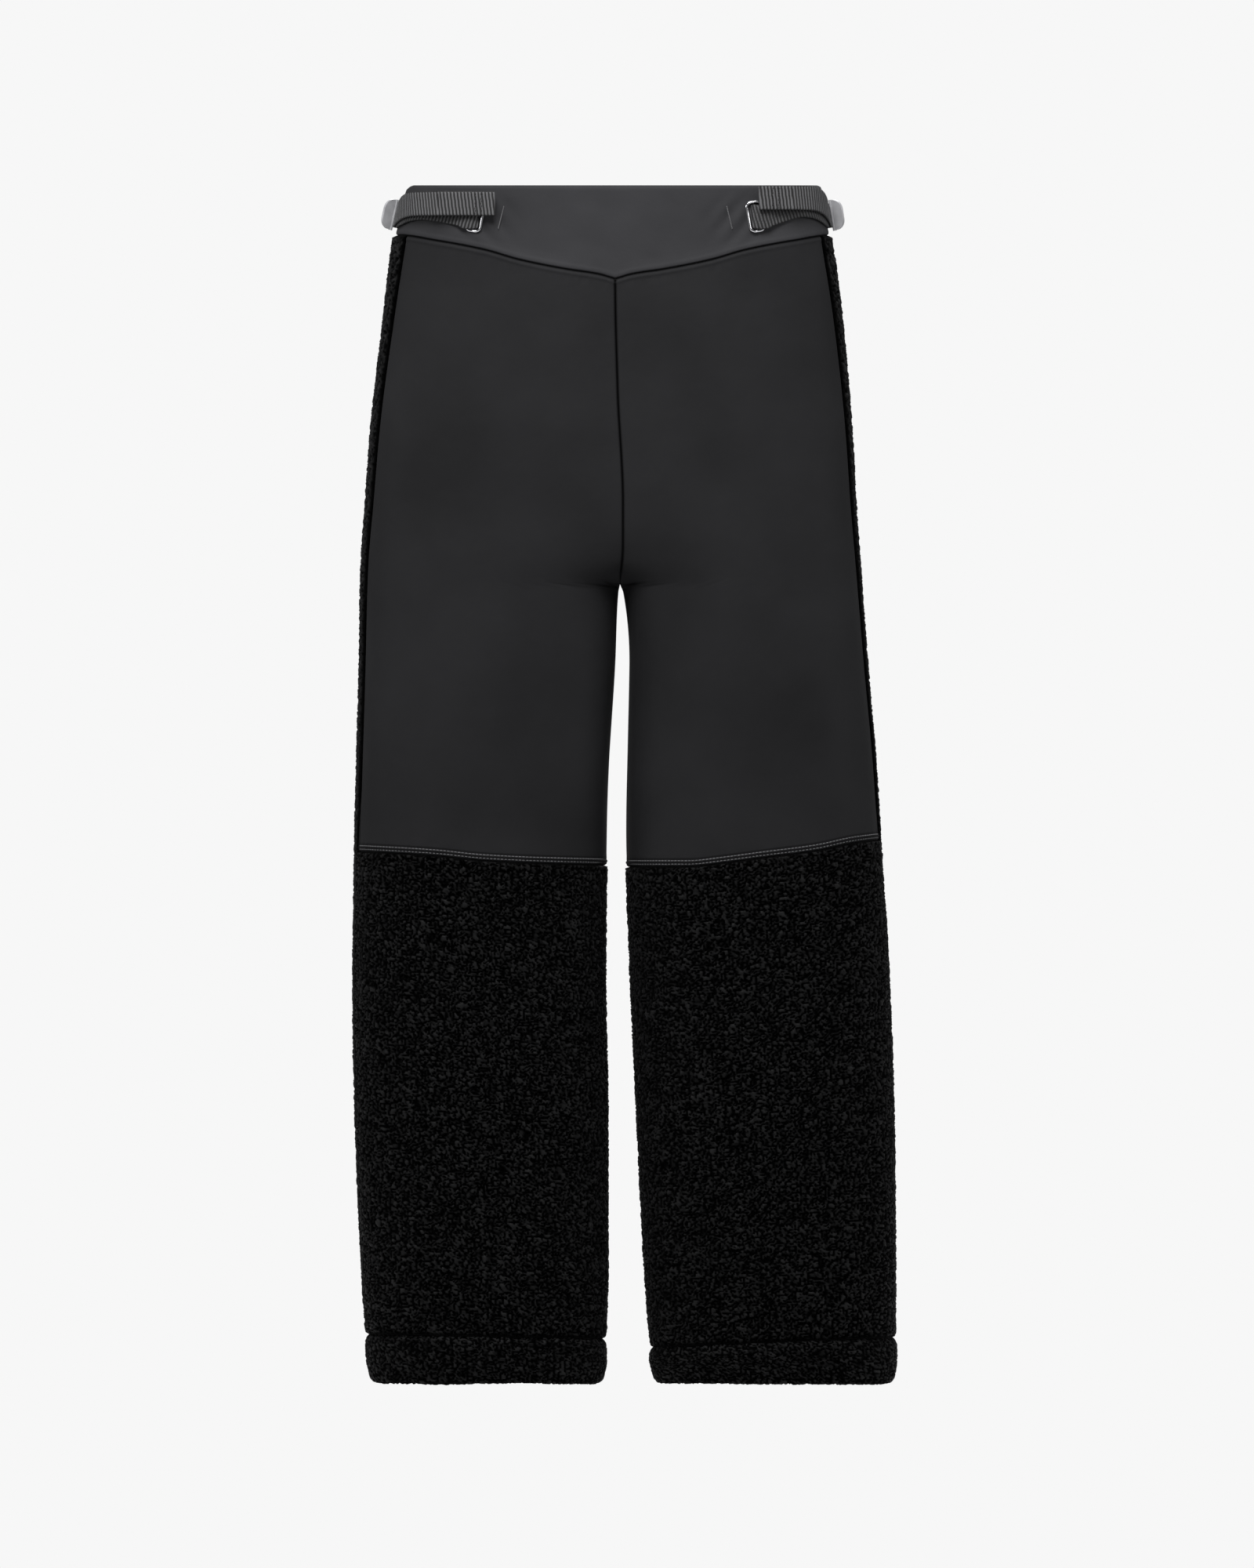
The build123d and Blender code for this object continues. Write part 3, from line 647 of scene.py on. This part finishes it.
def hem(side, regions):
    """The turned-up hem: a soft roll of fleece with its inner layer."""
    front, back = regions
    mirror = side == "right"
    around, through_count = 380, 84
    seed = 300 if mirror else 400
    t = np.linspace(0, 1, through_count, endpoint=False)
    # The roll's own outline: gap outside the surface against height.
    outline = np.array([
        (-0.8, -958.8), (0.9, -960), (2.5, -963), (3.2, -975), (2.9, -988), (1.4, -995),
        (-1.4, -997.2), (-4.2, -994), (-5.2, -985), (-5.4, -970), (-5.0, -957), (-3.4, -954.5), (-2.2, -956),
    ])
    loop = np.concatenate([outline, outline[:1]])
    d = np.concatenate([[0], np.cumsum(np.hypot(*np.diff(loop, axis=0).T))])
    gap0, z0 = np.interp(t * d[-1], d, loop[:, 0]), np.interp(t * d[-1], d, loop[:, 1])
    for _ in range(3):
        gap0 = (np.roll(gap0, 1) + 2 * gap0 + np.roll(gap0, -1)) / 4
        z0 = (np.roll(z0, 1) + 2 * z0 + np.roll(z0, -1)) / 4
    share = front.length_at(-980) / (front.length_at(-980) + back.length_at(-980))
    turn = np.linspace(0, 1, around, endpoint=False)
    on_front = turn < share
    u = np.where(on_front, turn / share, 1 - (turn - share) / (1 - share))
    gap, z = gap0[:, None] * np.ones((1, around)), z0[:, None] * np.ones((1, around))
    total = float(front.length_at(-980) + back.length_at(-980))
    s = turn[None] * total * np.ones(gap.shape)
    along = (t * d[-1])[:, None] * np.ones(gap.shape)
    wrap = np.minimum(turn, 1 - turn)[None] * total
    h = nubs(s, along, seed) * smooth(wrap / 6 + 0.4)
    ng, nz = np.gradient(z0), -np.gradient(gap0)
    size = np.hypot(ng, nz)
    ng, nz = ng / size, nz / size
    if ng[through_count // 4] < 0:
        ng, nz = -ng, -nz
    outside = smooth((gap0 + 4) / 5)[:, None]
    lift = (h - 0.45) * (0.6 + 1.6 * outside) + 0.5 * ripple(s / 30, along / 40, seed)
    gap = gap + ng[:, None] * lift
    z = z + nz[:, None] * lift
    uu = u[None] * np.ones(gap.shape)
    xf, yf = front.at(uu, z, gap)
    xb, yb = back.at(uu, z, gap)
    pick = on_front[None] * np.ones(gap.shape, bool)
    x, y = np.where(pick, xf, xb), np.where(pick, yf, yb)
    sign = -1 if mirror else 1
    # The bottom corners are worn round, and the roll's top runs a little aslant.
    middle, half = (x.max() + x.min()) / 2, (x.max() - x.min()) / 2
    corner = np.clip((np.abs(x - middle) / half - 0.86) / 0.14, 0, 1) ** 2
    low = smooth((-968 - z) / 26)
    z = z + 6.5 * corner * low + (hem_top(side, np.abs(x)) + 958) * smooth((z + 990) / 26)
    z = z + 0.9 * ripple(s / 45, s * 0, seed + 9) * low
    verts = np.stack([sign * x, y, z], -1).reshape(-1, 3)
    r, c = np.meshgrid(np.arange(through_count), np.arange(around), indexing="ij")
    r2, c2 = (r + 1) % through_count, (c + 1) % around
    quads = np.stack([r * around + c, r2 * around + c, r2 * around + c2, r * around + c2], -1).reshape(-1, 4)
    faces = quads.tolist()
    k = (through_count // 5) * around + int(around * share / 2)
    n = np.cross(verts[k + around] - verts[k], verts[k + 1] - verts[k])
    if n[1] > 0:
        faces = [f[::-1] for f in faces]
    # The pile attribute drops on the roll's inner side: painted shade there.
    piece = mesh_object(f"Hem_Roll_{side}", verts, faces, (h * (0.3 + 0.7 * outside)).ravel())
    return finish_piece(piece, FLEECE, "pants", [f"hem_{side}"])


def waist_top(x):
    """The waistband's top edge, which dips a little at the sides."""
    return -0.2 - 2 * np.clip((x - 168.5) / 4.5, 0, 1.2) ** 2


def waistband():
    for front in (True, False):
        area = waist_region(front)
        word = "Front" if front else "Back"
        low = yoke if front else waist_back

        def outer(side_edge, end_edge, s, z, u, v):
            top = v * 45
            roll = np.sqrt(np.clip(1 - (1 - np.clip(top / 2.6, 0, 1)) ** 2, 0, 1))
            gap = -1.7 + 1.7 * roll
            low_edge = end_edge * (v > 0.5) + 99 * (v <= 0.5)
            gap += welt(low_edge, 1.5, 1.3, 0.3 if front else 0.0)
            if front:
                soft = smooth(low_edge / 12) * smooth(top / 12)
                waves = 1.0 * ripple(s / 60, z / 45, 71) + 0.35 * ripple((s + z) / 20, (s - z) / 46, 75)
                gap += waves * soft
                for centre, lean_way in ((-96, 1), (94, -1)):
                    dx, dz = (u - 0.5) * 402 - centre * 1.06, z + 30
                    close = np.exp(-(dx**2 + dz**2) / 330)
                    gap += 0.8 * np.cos((dx * lean_way + 0.8 * dz) / 2.9) * close * soft
            else:
                gather = np.cos(s * 2 * np.pi / 7.5 + 1.6 * ripple(s / 9, z / 40, 77))
                gap += (0.55 * gather - 0.3) * smooth(side_edge / 25) * smooth(low_edge / 6) * smooth(top / 6)
            # Painted shade in the crease of the lower seam.
            return gap, painted_crease_shade(low_edge, 1.5), np.zeros(z.shape)

        name = f"Waistband_{word}"
        band = shell(name, area, False, waist_top, low, 100, 18, outer, -3.15, pack=0.45, halves=False)
        hidden = ["waistband_front", "waistband_interlining"] if front else ["waistband_back", "waist_elastic"]
        finish_piece(band, LIT_YOKE, "pants", hidden)

        def facing(side_edge, end_edge, s, z, u, v):
            return np.full(z.shape, -3.25), np.zeros(z.shape), np.zeros(z.shape)

        def facing_top(x):
            return waist_top(x) - 2.0

        def facing_low(x):
            return low(x) - 1.0

        name = f"Facing_{word}"
        inside = shell(name, area, False, facing_top, facing_low, 60, 8, facing, -4.7, halves=False)
        finish_piece(inside, LINING, "pants", [f"waistband_facing_{word.lower()}"])


# ---- Thread ------------------------------------------------------------------------------------


def stitches(name, places, sides=6, rings=5):
    """Raised stitches: each place is (start, end, outward, radius)."""
    verts, faces = [], []
    for a, b, out, radius in places:
        a, b, out = np.array(a, float), np.array(b, float), np.array(out, float)
        along = b - a
        length = np.linalg.norm(along)
        along /= length
        side = np.cross(along, out)
        side /= np.linalg.norm(side)
        up = np.cross(side, along)
        base = len(verts)
        for k in range(rings):
            t = k / (rings - 1)
            thick = radius * (0.35 + 0.65 * math.sin(math.pi * (0.12 + 0.76 * t)))
            arch = radius * 0.9 * math.sin(math.pi * t)
            for j in range(sides):
                q = 2 * math.pi * j / sides
                round_it = side * thick * math.cos(q) + up * thick * math.sin(q)
                verts.append(a + along * length * t + up * arch + round_it)
        for k in range(rings - 1):
            here, there = base + k * sides, base + (k + 1) * sides
            for j in range(sides):
                j2 = (j + 1) % sides
                faces.append([here + j, here + j2, there + j2, there + j])
        faces.append([base + j for j in range(sides)][::-1])
        faces.append([base + (rings - 1) * sides + j for j in range(sides)])
    return mesh_object(name, verts, faces)


def knee_stitching(side, front):
    places = []
    mirror = side == "right"
    sign = -1 if mirror else 1
    n, pitch = 700, 3.0
    for up in KNEE_ROWS:
        u = np.linspace(0.003, 0.997, n)
        z = np.full(n, -560.0)
        for _ in range(4):
            x, y = front.at(u, z, np.zeros(n))
            z = through(KNEE_SEAM[side], x) + up
        gap = np.full(n, -0.05)
        x, y = front.at(u, z, gap)
        xo, yo = front.at(u, z, gap + 1)
        line = np.stack([sign * x, y, z], -1)
        out = np.stack([sign * (xo - x), yo - y, 0 * z], -1)
        s = np.concatenate([[0], np.cumsum(np.linalg.norm(np.diff(line, axis=0), axis=1))])
        for k in range(int(s[-1] / pitch)):
            start, end = (
                np.array([np.interp(w, s, line[:, i]) for i in range(3)])
                for w in (k * pitch + 0.2, k * pitch + pitch - 0.25)
            )
            normal = np.array([np.interp(k * pitch, s, out[:, i]) for i in range(3)])
            places.append((start, end, normal, 0.42))
    piece = stitches(f"Knee_Stitching_{side}", places)
    return finish_piece(piece, THREAD, "pants", [f"knee_topstitch_{side}"])


legs = build_legs()
for side in SIDES:
    hem(side, legs[side][:2])
    knee_stitching(side, legs[side][0])
waistband()

# ---- Straps ------------------------------------------------------------------------------------
WEBBING_WIDTH = 20.2
WEBBING_THICK = 1.3
BAR_P, BAR_FIXED = 5.8, 14  # the buckle's fixed bar: outside the hip, and behind its middle
TAIL_JOIN_X = 145
TAIL_END_X = {"left": 120.5, "right": 101}
TAIL_Z = {"left": -10.5, "right": -15.4}
# The webbing's turn round the buckle's middle bar: outside the hip, and behind its middle.
ROUND_BAR = (
    (1.2, -3), (1.35, 1.2), (2.3, 3.6), (3.3, 5.6), (4.0, 7.1), (5.6, 7.95), (7.3, 7.4),
    (8.2, 5.7), (7.6, 3.7), (5.9, 1.6), (4.2, -0.4), (3.45, -2.5), (3.2, -5.0), (3.05, -7.0),
)


def reach(side):
    front, back, *rest = (float(v) for v in row_at(STRAP_Z))
    outer = rest[0] if side == "left" else rest[2]
    inner = -260
    middle = (outer + LEAST_INNER) / 2
    return front, back, middle, outer - middle, middle - inner, outer


def at_angle(side, degrees, gap):
    front, back, middle, outward, _, _ = reach(side)
    c, s = math.cos(math.radians(degrees)), math.sin(math.radians(degrees))
    depth = back if s > 0 else front
    return middle + (outward + gap) * abs(c) ** POWER, (depth + gap) * math.copysign(abs(s) ** POWER, s)


def front_y(x, side, gap):
    front, _, middle, outward, inward, _ = reach(side)
    share = abs(x - middle) / (outward if x > middle else inward)
    return -front * (1 - share**2.5) ** 0.4 - gap


def slope_of(side):
    return {"left": 7 / 45, "right": 10 / 45}[side]


def side_p(side, q):
    front, back, _, outward, _, _ = reach(side)
    depth = back if q > 0 else front
    return outward * ((1 - (abs(q) / depth) ** 2.5) ** 0.4 - 1)


def along_path(points, step):
    """Points every step millimetres on a smooth curve through the given ones."""
    p = np.array(points, float)
    t = np.concatenate([[0], np.cumsum(np.linalg.norm(np.diff(p, axis=0), axis=1))])
    fine = np.linspace(0, t[-1], 1500)
    ext = np.concatenate([[2 * p[0] - p[1]], p, [2 * p[-1] - p[-2]]])
    k = np.clip(np.searchsorted(t, fine) - 1, 0, len(t) - 2)
    w = ((fine - t[k]) / (t[k + 1] - t[k]))[:, None]
    a, b, c, d = ext[k], ext[k + 1], ext[k + 2], ext[k + 3]
    curve = 0.5 * (2 * b + (c - a) * w + (2 * a - 5 * b + 4 * c - d) * w**2 + (3 * b - a - 3 * c + d) * w**3)
    s = np.concatenate([[0], np.cumsum(np.linalg.norm(np.diff(curve, axis=0), axis=1))])
    n = max(2, int(s[-1] / step))
    even = np.linspace(0, s[-1], n)
    return np.stack([np.interp(even, s, curve[:, i]) for i in range(p.shape[1])], -1), even


def ribbon(name, points, side, slant, tone=1.0):
    """Ribbed webbing along points (x, y, z, lean), lean being its top's tilt towards the body."""
    width, thick, pitch, rib, step = WEBBING_WIDTH, WEBBING_THICK, 2.9, 0.36, 0.42
    path, s = along_path(points, step)
    tangent = np.gradient(path[:, :2], axis=0)
    tangent /= np.maximum(np.linalg.norm(tangent, axis=1), 1e-9)[:, None]
    normal = np.stack([tangent[:, 1], -tangent[:, 0], 0 * s], -1)
    up = np.stack([-path[:, 3], 0 * s, np.ones(len(s))], -1)
    up /= np.linalg.norm(up, axis=1)[:, None]
    count = 15
    across = np.cos(np.linspace(0, np.pi, count))
    a = np.concatenate([across, -across]) * width / 2
    face = np.concatenate([np.ones(count), -np.ones(count)])
    edge = np.clip((width / 2 - np.abs(a)) / 0.9, 0, 1)
    b = face * (thick / 2 - rib / 2) * np.sqrt(1 - (1 - edge) ** 2 * 0.85)
    weave = s[:, None] + a[None] * slant + 0.12 * np.sin(a[None] * 2.1)
    wave = 0.5 + 0.5 * np.cos(2 * np.pi * weave / pitch)
    crest = np.sqrt(wave)
    off = b[None] + face[None] * rib * crest * edge[None]
    wide = a[None] * (1 + 0.010 * (wave - 0.5))
    verts = path[:, None, :3] + up[:, None] * wide[..., None] + normal[:, None] * off[..., None]
    if side == "right":
        verts = verts * (-1, 1, 1)
    n, m = len(s), 2 * count
    # The pile attribute is painted light: crests light, gaps and edges dark as painted shade; tone darkens a
    # whole strap as painted shadow.
    pile = (crest * (0.25 + 0.75 * edge[None]) * tone).ravel()
    r, c = np.meshgrid(np.arange(n - 1), np.arange(m), indexing="ij")
    c2 = (c + 1) % m
    quads = np.stack([r * m + c, (r + 1) * m + c, (r + 1) * m + c2, r * m + c2], -1).reshape(-1, 4).tolist()
    caps = [list(range(m)), [(n - 1) * m + j for j in range(m)][::-1]]
    faces = quads + caps
    if side == "left":
        faces = [f[::-1] for f in faces]
    flat = verts.reshape(-1, 3)
    return mesh_object(name, flat, faces, pile)


def buckle_point(side, p, q):
    """A point p outside the hip and q behind its middle, on the slant of the buckle."""
    outer = reach(side)[5]
    lean = slope_of(side)
    return (outer + p, q, STRAP_Z + lean * p, lean)


def tail_ends(side):
    x = TAIL_END_X[side]
    free = np.array([x, front_y(x, side, 9)])
    join = np.array([TAIL_JOIN_X, front_y(TAIL_JOIN_X, side, 11)])
    return free, join


def straps(side):
    lean = slope_of(side)
    body, buckle, tail = "pants", f"buckle_{side}", f"strap_tail_{side}"
    hold = 0.5 + 2.2 + 0.65 + 0.5
    rear = 110.6 + 12.6
    front_part = [
        (100, -2.7), (108.5, -2.6), (112.5, -1.3), (115.2, 1.9),
        (rear - 4.2, hold), (rear, hold + 0.1), (rear + 4.5, hold - 0.2), (133, 2.6),
    ]
    lifts = (0, 0, 0, 0, -0.6, -0.6, 0, 2.6)
    pts = [(x, front_y(x, side, g), STRAP_Z + up, 0) for (x, g), up in zip(front_part, lifts)]
    bow = 1.0 if side == "left" else 0.75
    side_part = ((-50, 0.35, 8.5), (-40, 0.55, 9.0), (-30, 0.75, 7.0), (-19, 0.9, 3.2), (-9, 1.0, 0.6))
    for angle, share, up in side_part:
        x, y = at_angle(side, angle, 1.25)
        pts.append((x, y, STRAP_Z + up * bow, lean * share))
    pts += [buckle_point(side, p, q) for p, q in ROUND_BAR]
    # tone=0.85 darkens the standing strap: painted shadow of the tail over it.
    standing = ribbon(f"Strap_Standing_{side}", pts, side, slant=0.3, tone=0.85)
    finish_piece(standing, WEBBING, None, [f"strap_standing_{side}", f"strap_wrap_{side}"])
    sign = -1 if side == "right" else 1
    outer = reach(side)[5]
    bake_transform(standing)

    tz = TAIL_Z[side]
    free, join = tail_ends(side)
    along = (free - join) / np.linalg.norm(free - join)
    inward = np.array([-along[1], along[0]])
    if inward[1] < 0:
        inward = -inward
    pts = [buckle_point(side, *ROUND_BAR[-1])]
    for angle, gap, share in ((-14, 3.3, 0.42), (-24, 4.2, 0.72), (-34, 5.8, 0.90), (-43, 7.8, 0.97)):
        x, y = at_angle(side, angle, gap)
        pts.append((x, y, STRAP_Z + (tz - STRAP_Z) * share, lean * (1 - share)))
    flat_part = (join - along * 4, join, (join + free) / 2 - inward * 0.15)
    fold = ((3, 0), (0.9, 0), (0, 0.75), (0.9, 1.5), (10, 1.45), (20, 1.45))
    flat_part += tuple(free - along * short + inward * deep for short, deep in fold)
    pts += [(*place, tz, 0) for place in flat_part]
    outer_strap = ribbon(f"Strap_Tail_{side}", pts, side, slant=0.13 if side == "right" else -0.13)
    finish_piece(outer_strap, WEBBING, None, [f"strap_round_side_{side}", f"strap_tail_{side}"])
    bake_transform(outer_strap)

    # The two rows across the tail's end.
    places = []
    outward = -inward
    for distance in (10.5, 15.5):
        base = free - along * distance + outward * 0.95
        for k in range(9):
            z0 = tz - 8.9 + k * 2.0
            jog = 0.25 if k % 2 else -0.25
            p = base + along * jog
            x, y = sign * p[0], p[1]
            places.append(((x, y, z0), (x, y, z0 + 1.7), (sign * outward[0], outward[1], 0), 0.32))
    rows = stitches(f"Tail_Stitching_{side}", places)
    finish_piece(rows, DARK_THREAD, tail, [f"tail_stitch_{side}"])

    # The row on the waistband in front of the ring.
    places = []
    y = front_y(95, side, 0.25)
    for k in range(15):
        t = (k + 0.5) / 15 - 0.5
        x, z = 95 - t * 18 * math.sin(math.radians(15)), STRAP_Z - 1 + t * 19
        places.append(((sign * (x - 0.12), y, z - 0.75), (sign * (x + 0.1), y, z + 0.7), (0, -1, 0), 0.42))
    row = stitches(f"Bartack_{side}", places)
    finish_piece(row, THREAD, "pants", [f"strap_bartack_{side}"])

    # The tab that holds the buckle.
    bends = [math.radians(a) for a in (-180, -140, -90, -40, 0)]
    turn = [(math.cos(a) * 2.4 + BAR_P, math.sin(a) * 2.4 + BAR_FIXED) for a in bends]
    line = [(side_p(side, q) + g, q) for q, g in ((30, 2.6), (26, 2.2), (22, 2.0))]
    line += [(1.5, 16.6)] + turn + [(7.6, 17.0)]
    line += [(side_p(side, q) + g, q) for q, g in ((22, 4.5), (26, 4.9), (30, 5.2))]
    tab = ribbon(f"Buckle_Tab_{side}", [buckle_point(side, p, q) for p, q in line], side, slant=0.05)
    finish_piece(tab, WEBBING, "pants", [f"buckle_tab_{side}"])
    places = []
    for q in (26.0, 28.5):
        for k in range(9):
            z0 = STRAP_Z - 8.9 + k * 2.0
            x = outer + side_p(side, q) + (4.9 if q < 27 else 5.1) + 1.0 - lean * (z0 + 0.8 - STRAP_Z)
            places.append(((sign * x, q, z0), (sign * (x - lean * 1.7), q, z0 + 1.7), (sign, 0, 0), 0.35))
    sewn = stitches(f"Tab_Stitching_{side}", places)
    finish_piece(sewn, DARK_THREAD, "pants", [f"tab_stitch_{side}"])


def hanger_loop(side):
    """A folded ribbon inside the side seam."""
    x = ROWS[0][OUTER[side]] - 6.0
    line = [(x, -6), (x, -20), (x, -36), (x - 0.2, -52), (x - 0.5, -66.5), (x - 1.2, -67.9), (x - 1.9, -66.5)]
    line += [(x - 2.2, -52), (x - 2.4, -36), (x - 2.4, -20), (x - 2.4, -6)]
    path, s = along_path([(a, 0, b) for a, b in line], 0.8)
    return path, s


def flat_label(name, centre, across, down, out, curl, thick=0.3, corner=1.2):
    """A sewn label: a thin card of woven ribbon that curls a little, with its folded edges."""
    nu, nv = 46, 34
    u, v = np.meshgrid(np.linspace(-1, 1, nu), np.linspace(-1, 1, nv))
    across, down, out = (np.array(a, float) for a in (across, down, out))
    w, h = np.linalg.norm(across), np.linalg.norm(down)
    pull = np.clip(np.abs(u) * w - (w - corner), 0, corner)
    vv = v * (1 - (corner - np.sqrt(np.clip(corner**2 - pull**2, 0, None))) / h)
    lift = curl * (0.5 + 0.5 * v) ** 2 * (1 - 0.4 * u) + 0.12 * ripple(u * 6, v * 5, 61)
    fold = 0.18 * smooth((np.abs(v) * h - (h - 1.6)) / 0.5)
    place = np.array(centre) + u[..., None] * across + vv[..., None] * down
    verts = []
    for face in (1, -1):
        grow = lift + face * (thick / 2 + fold)
        verts.append((place + grow[..., None] * out).reshape(-1, 3))
    n = nu * nv
    r, c = np.meshgrid(np.arange(nv - 1), np.arange(nu - 1), indexing="ij")
    p = (r * nu + c).ravel()
    front = np.stack([p, p + 1, p + nu + 1, p + nu], -1)
    faces = front.tolist() + (front[:, ::-1] + n).tolist()
    ring = list(range(nu)) + [k * nu + nu - 1 for k in range(1, nv)]
    ring += [(nv - 1) * nu + k for k in range(nu - 2, -1, -1)] + [k * nu for k in range(nv - 2, 0, -1)]
    faces += [[a + n, b + n, b, a] for a, b in zip(ring, ring[1:] + ring[:1])]
    if np.cross(across, down) @ out < 0:
        faces = [f[::-1] for f in faces]
    return mesh_object(name, np.concatenate(verts), faces)


def trims():
    for side in SIDES:
        path, s = hanger_loop(side)
        t = np.gradient(path, axis=0)
        t /= np.linalg.norm(t, axis=1)[:, None]
        n = np.stack([t[:, 2], 0 * s, -t[:, 0]], -1)
        sign = -1 if side == "right" else 1
        a = np.array([-3, -2.9, -2.2, -1.1, 0, 1.1, 2.2, 2.9, 3, 2.9, 2.2, 1.1, 0, -1.1, -2.2, -2.9])
        top = [0, 0.2, 0.26, 0.22, 0.24, 0.22, 0.26, 0.2]
        b = np.array(top + [-v for v in top])
        grain = 1 + 0.25 * np.cos(2 * np.pi * s / 1.6)[:, None]
        verts = path[:, None] + n[:, None] * (b[None] * grain)[..., None]
        verts = verts + np.array([0, 1, 0]) * a[None, :, None]
        verts = verts.reshape(-1, 3) * (sign, 1, 1)
        m, rows = len(a), len(s)
        r, c = np.meshgrid(np.arange(rows - 1), np.arange(m), indexing="ij")
        c2 = (c + 1) % m
        faces = np.stack([r * m + c, r * m + c2, (r + 1) * m + c2, (r + 1) * m + c], -1).reshape(-1, 4).tolist()
        faces += [list(range(m))[::-1], [(rows - 1) * m + j for j in range(m)]]
        if side == "right":
            faces = [f[::-1] for f in faces]
        loop = mesh_object(f"Hanger_Loop_{side}", verts, faces)
        finish_piece(loop, RIBBON, "pants", [f"hanger_loop_{side}"])
    care = flat_label("Care_Label", (166.2, 12.5, -62), (0, 9, 0), (0, 0, -22), (-1, 0, 0), 1.6)
    finish_piece(care, LABEL, "pants", ["care_label"])
    tab = flat_label("Size_Tab", (0, ROWS[0][2] - 7.3, -14), (17, 0, 0), (0, 0, -7), (0, -1, 0), 0.3)
    finish_piece(tab, LABEL, "pants", ["size_tab"])


for side in SIDES:
    straps(side)
    for node, mat in ((f"ring_{side}", RING_METAL), (f"buckle_{side}", BUCKLE_METAL)):
        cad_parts[node].data.materials.clear()
        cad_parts[node].data.materials.append(mat)
trims()

# ---- Stage, light and camera -------------------------------------------------------------------
scene = bpy.context.scene
scene.view_settings.view_transform = "Standard"
world = bpy.data.worlds.new("Studio")
scene.world = world
world.use_nodes = True
sky = world.node_tree.nodes["Background"]
sky.inputs["Color"].default_value = (0.93, 0.93, 0.93, 1)
seen = world.node_tree.nodes.new("ShaderNodeLightPath")
amount = world.node_tree.nodes.new("ShaderNodeMapRange")
amount.inputs["To Min"].default_value, amount.inputs["To Max"].default_value = 0.18, 1.0
link(world.node_tree, seen, "Is Camera Ray", amount, "Value")
link(world.node_tree, amount, "Result", sky, "Strength")

FLOOR_Z = -1.004
floor_mesh = bpy.data.meshes.new("Floor")
size = 1.15
corners = [(a * size, b * size, FLOOR_Z) for a, b in ((-1, -1), (1, -1), (1, 1), (-1, 1))]
floor_mesh.from_pydata(corners, [], [(0, 1, 2, 3)])
floor = bpy.data.objects.new("Floor", floor_mesh)
scene.collection.objects.link(floor)
floor_mat, tree, shader = material("Floor", (0.86, 0.86, 0.86), 0.9, 0.1)
tone = ramp(tree, noise_node(tree, 3, 2), "Fac", [(0.3, (0.85, 0.85, 0.85)), (0.7, (0.87, 0.87, 0.87))])
link(tree, tone, "Color", shader, "Base Color")
floor_mesh.materials.append(floor_mat)


def area_light(name, place, target, power, width):
    data = bpy.data.lights.new(name, "AREA")
    data.energy, data.size = power, width
    lamp = bpy.data.objects.new(name, data)
    scene.collection.objects.link(lamp)
    lamp.location = place
    direction = np.array(target, float) - np.array(place, float)
    lamp.rotation_euler = Vector(direction).to_track_quat("-Z", "Y").to_euler()
    return lamp


area_light("Key", (-0.2, -1.25, 1.15), (0, 0, -0.2), 46, 0.8)
area_light("Left", (-2.2, -0.8, 0.5), (0, 0, -0.35), 21, 1.0)
area_light("Right", (2.2, -0.8, 0.5), (0, 0, -0.35), 21, 1.0)
area_light("Back", (0.4, 2.2, 1.4), (0, 0, -0.4), 45, 1.6)

# A straight view from in front. Its middle is 15 pixels right of the waist's centre and 764 below it.
PIXEL = 0.652 * MM
VIEW_HIGH = 2000
camera_data = bpy.data.cameras.new("Camera")
camera_data.type = "ORTHO"
camera_data.ortho_scale = VIEW_HIGH * PIXEL
camera = bpy.data.objects.new("Camera", camera_data)
scene.collection.objects.link(camera)
camera.location = (15 * PIXEL, -4, -764 * PIXEL)
camera.rotation_euler = (math.pi / 2, 0, 0)
scene.camera = camera
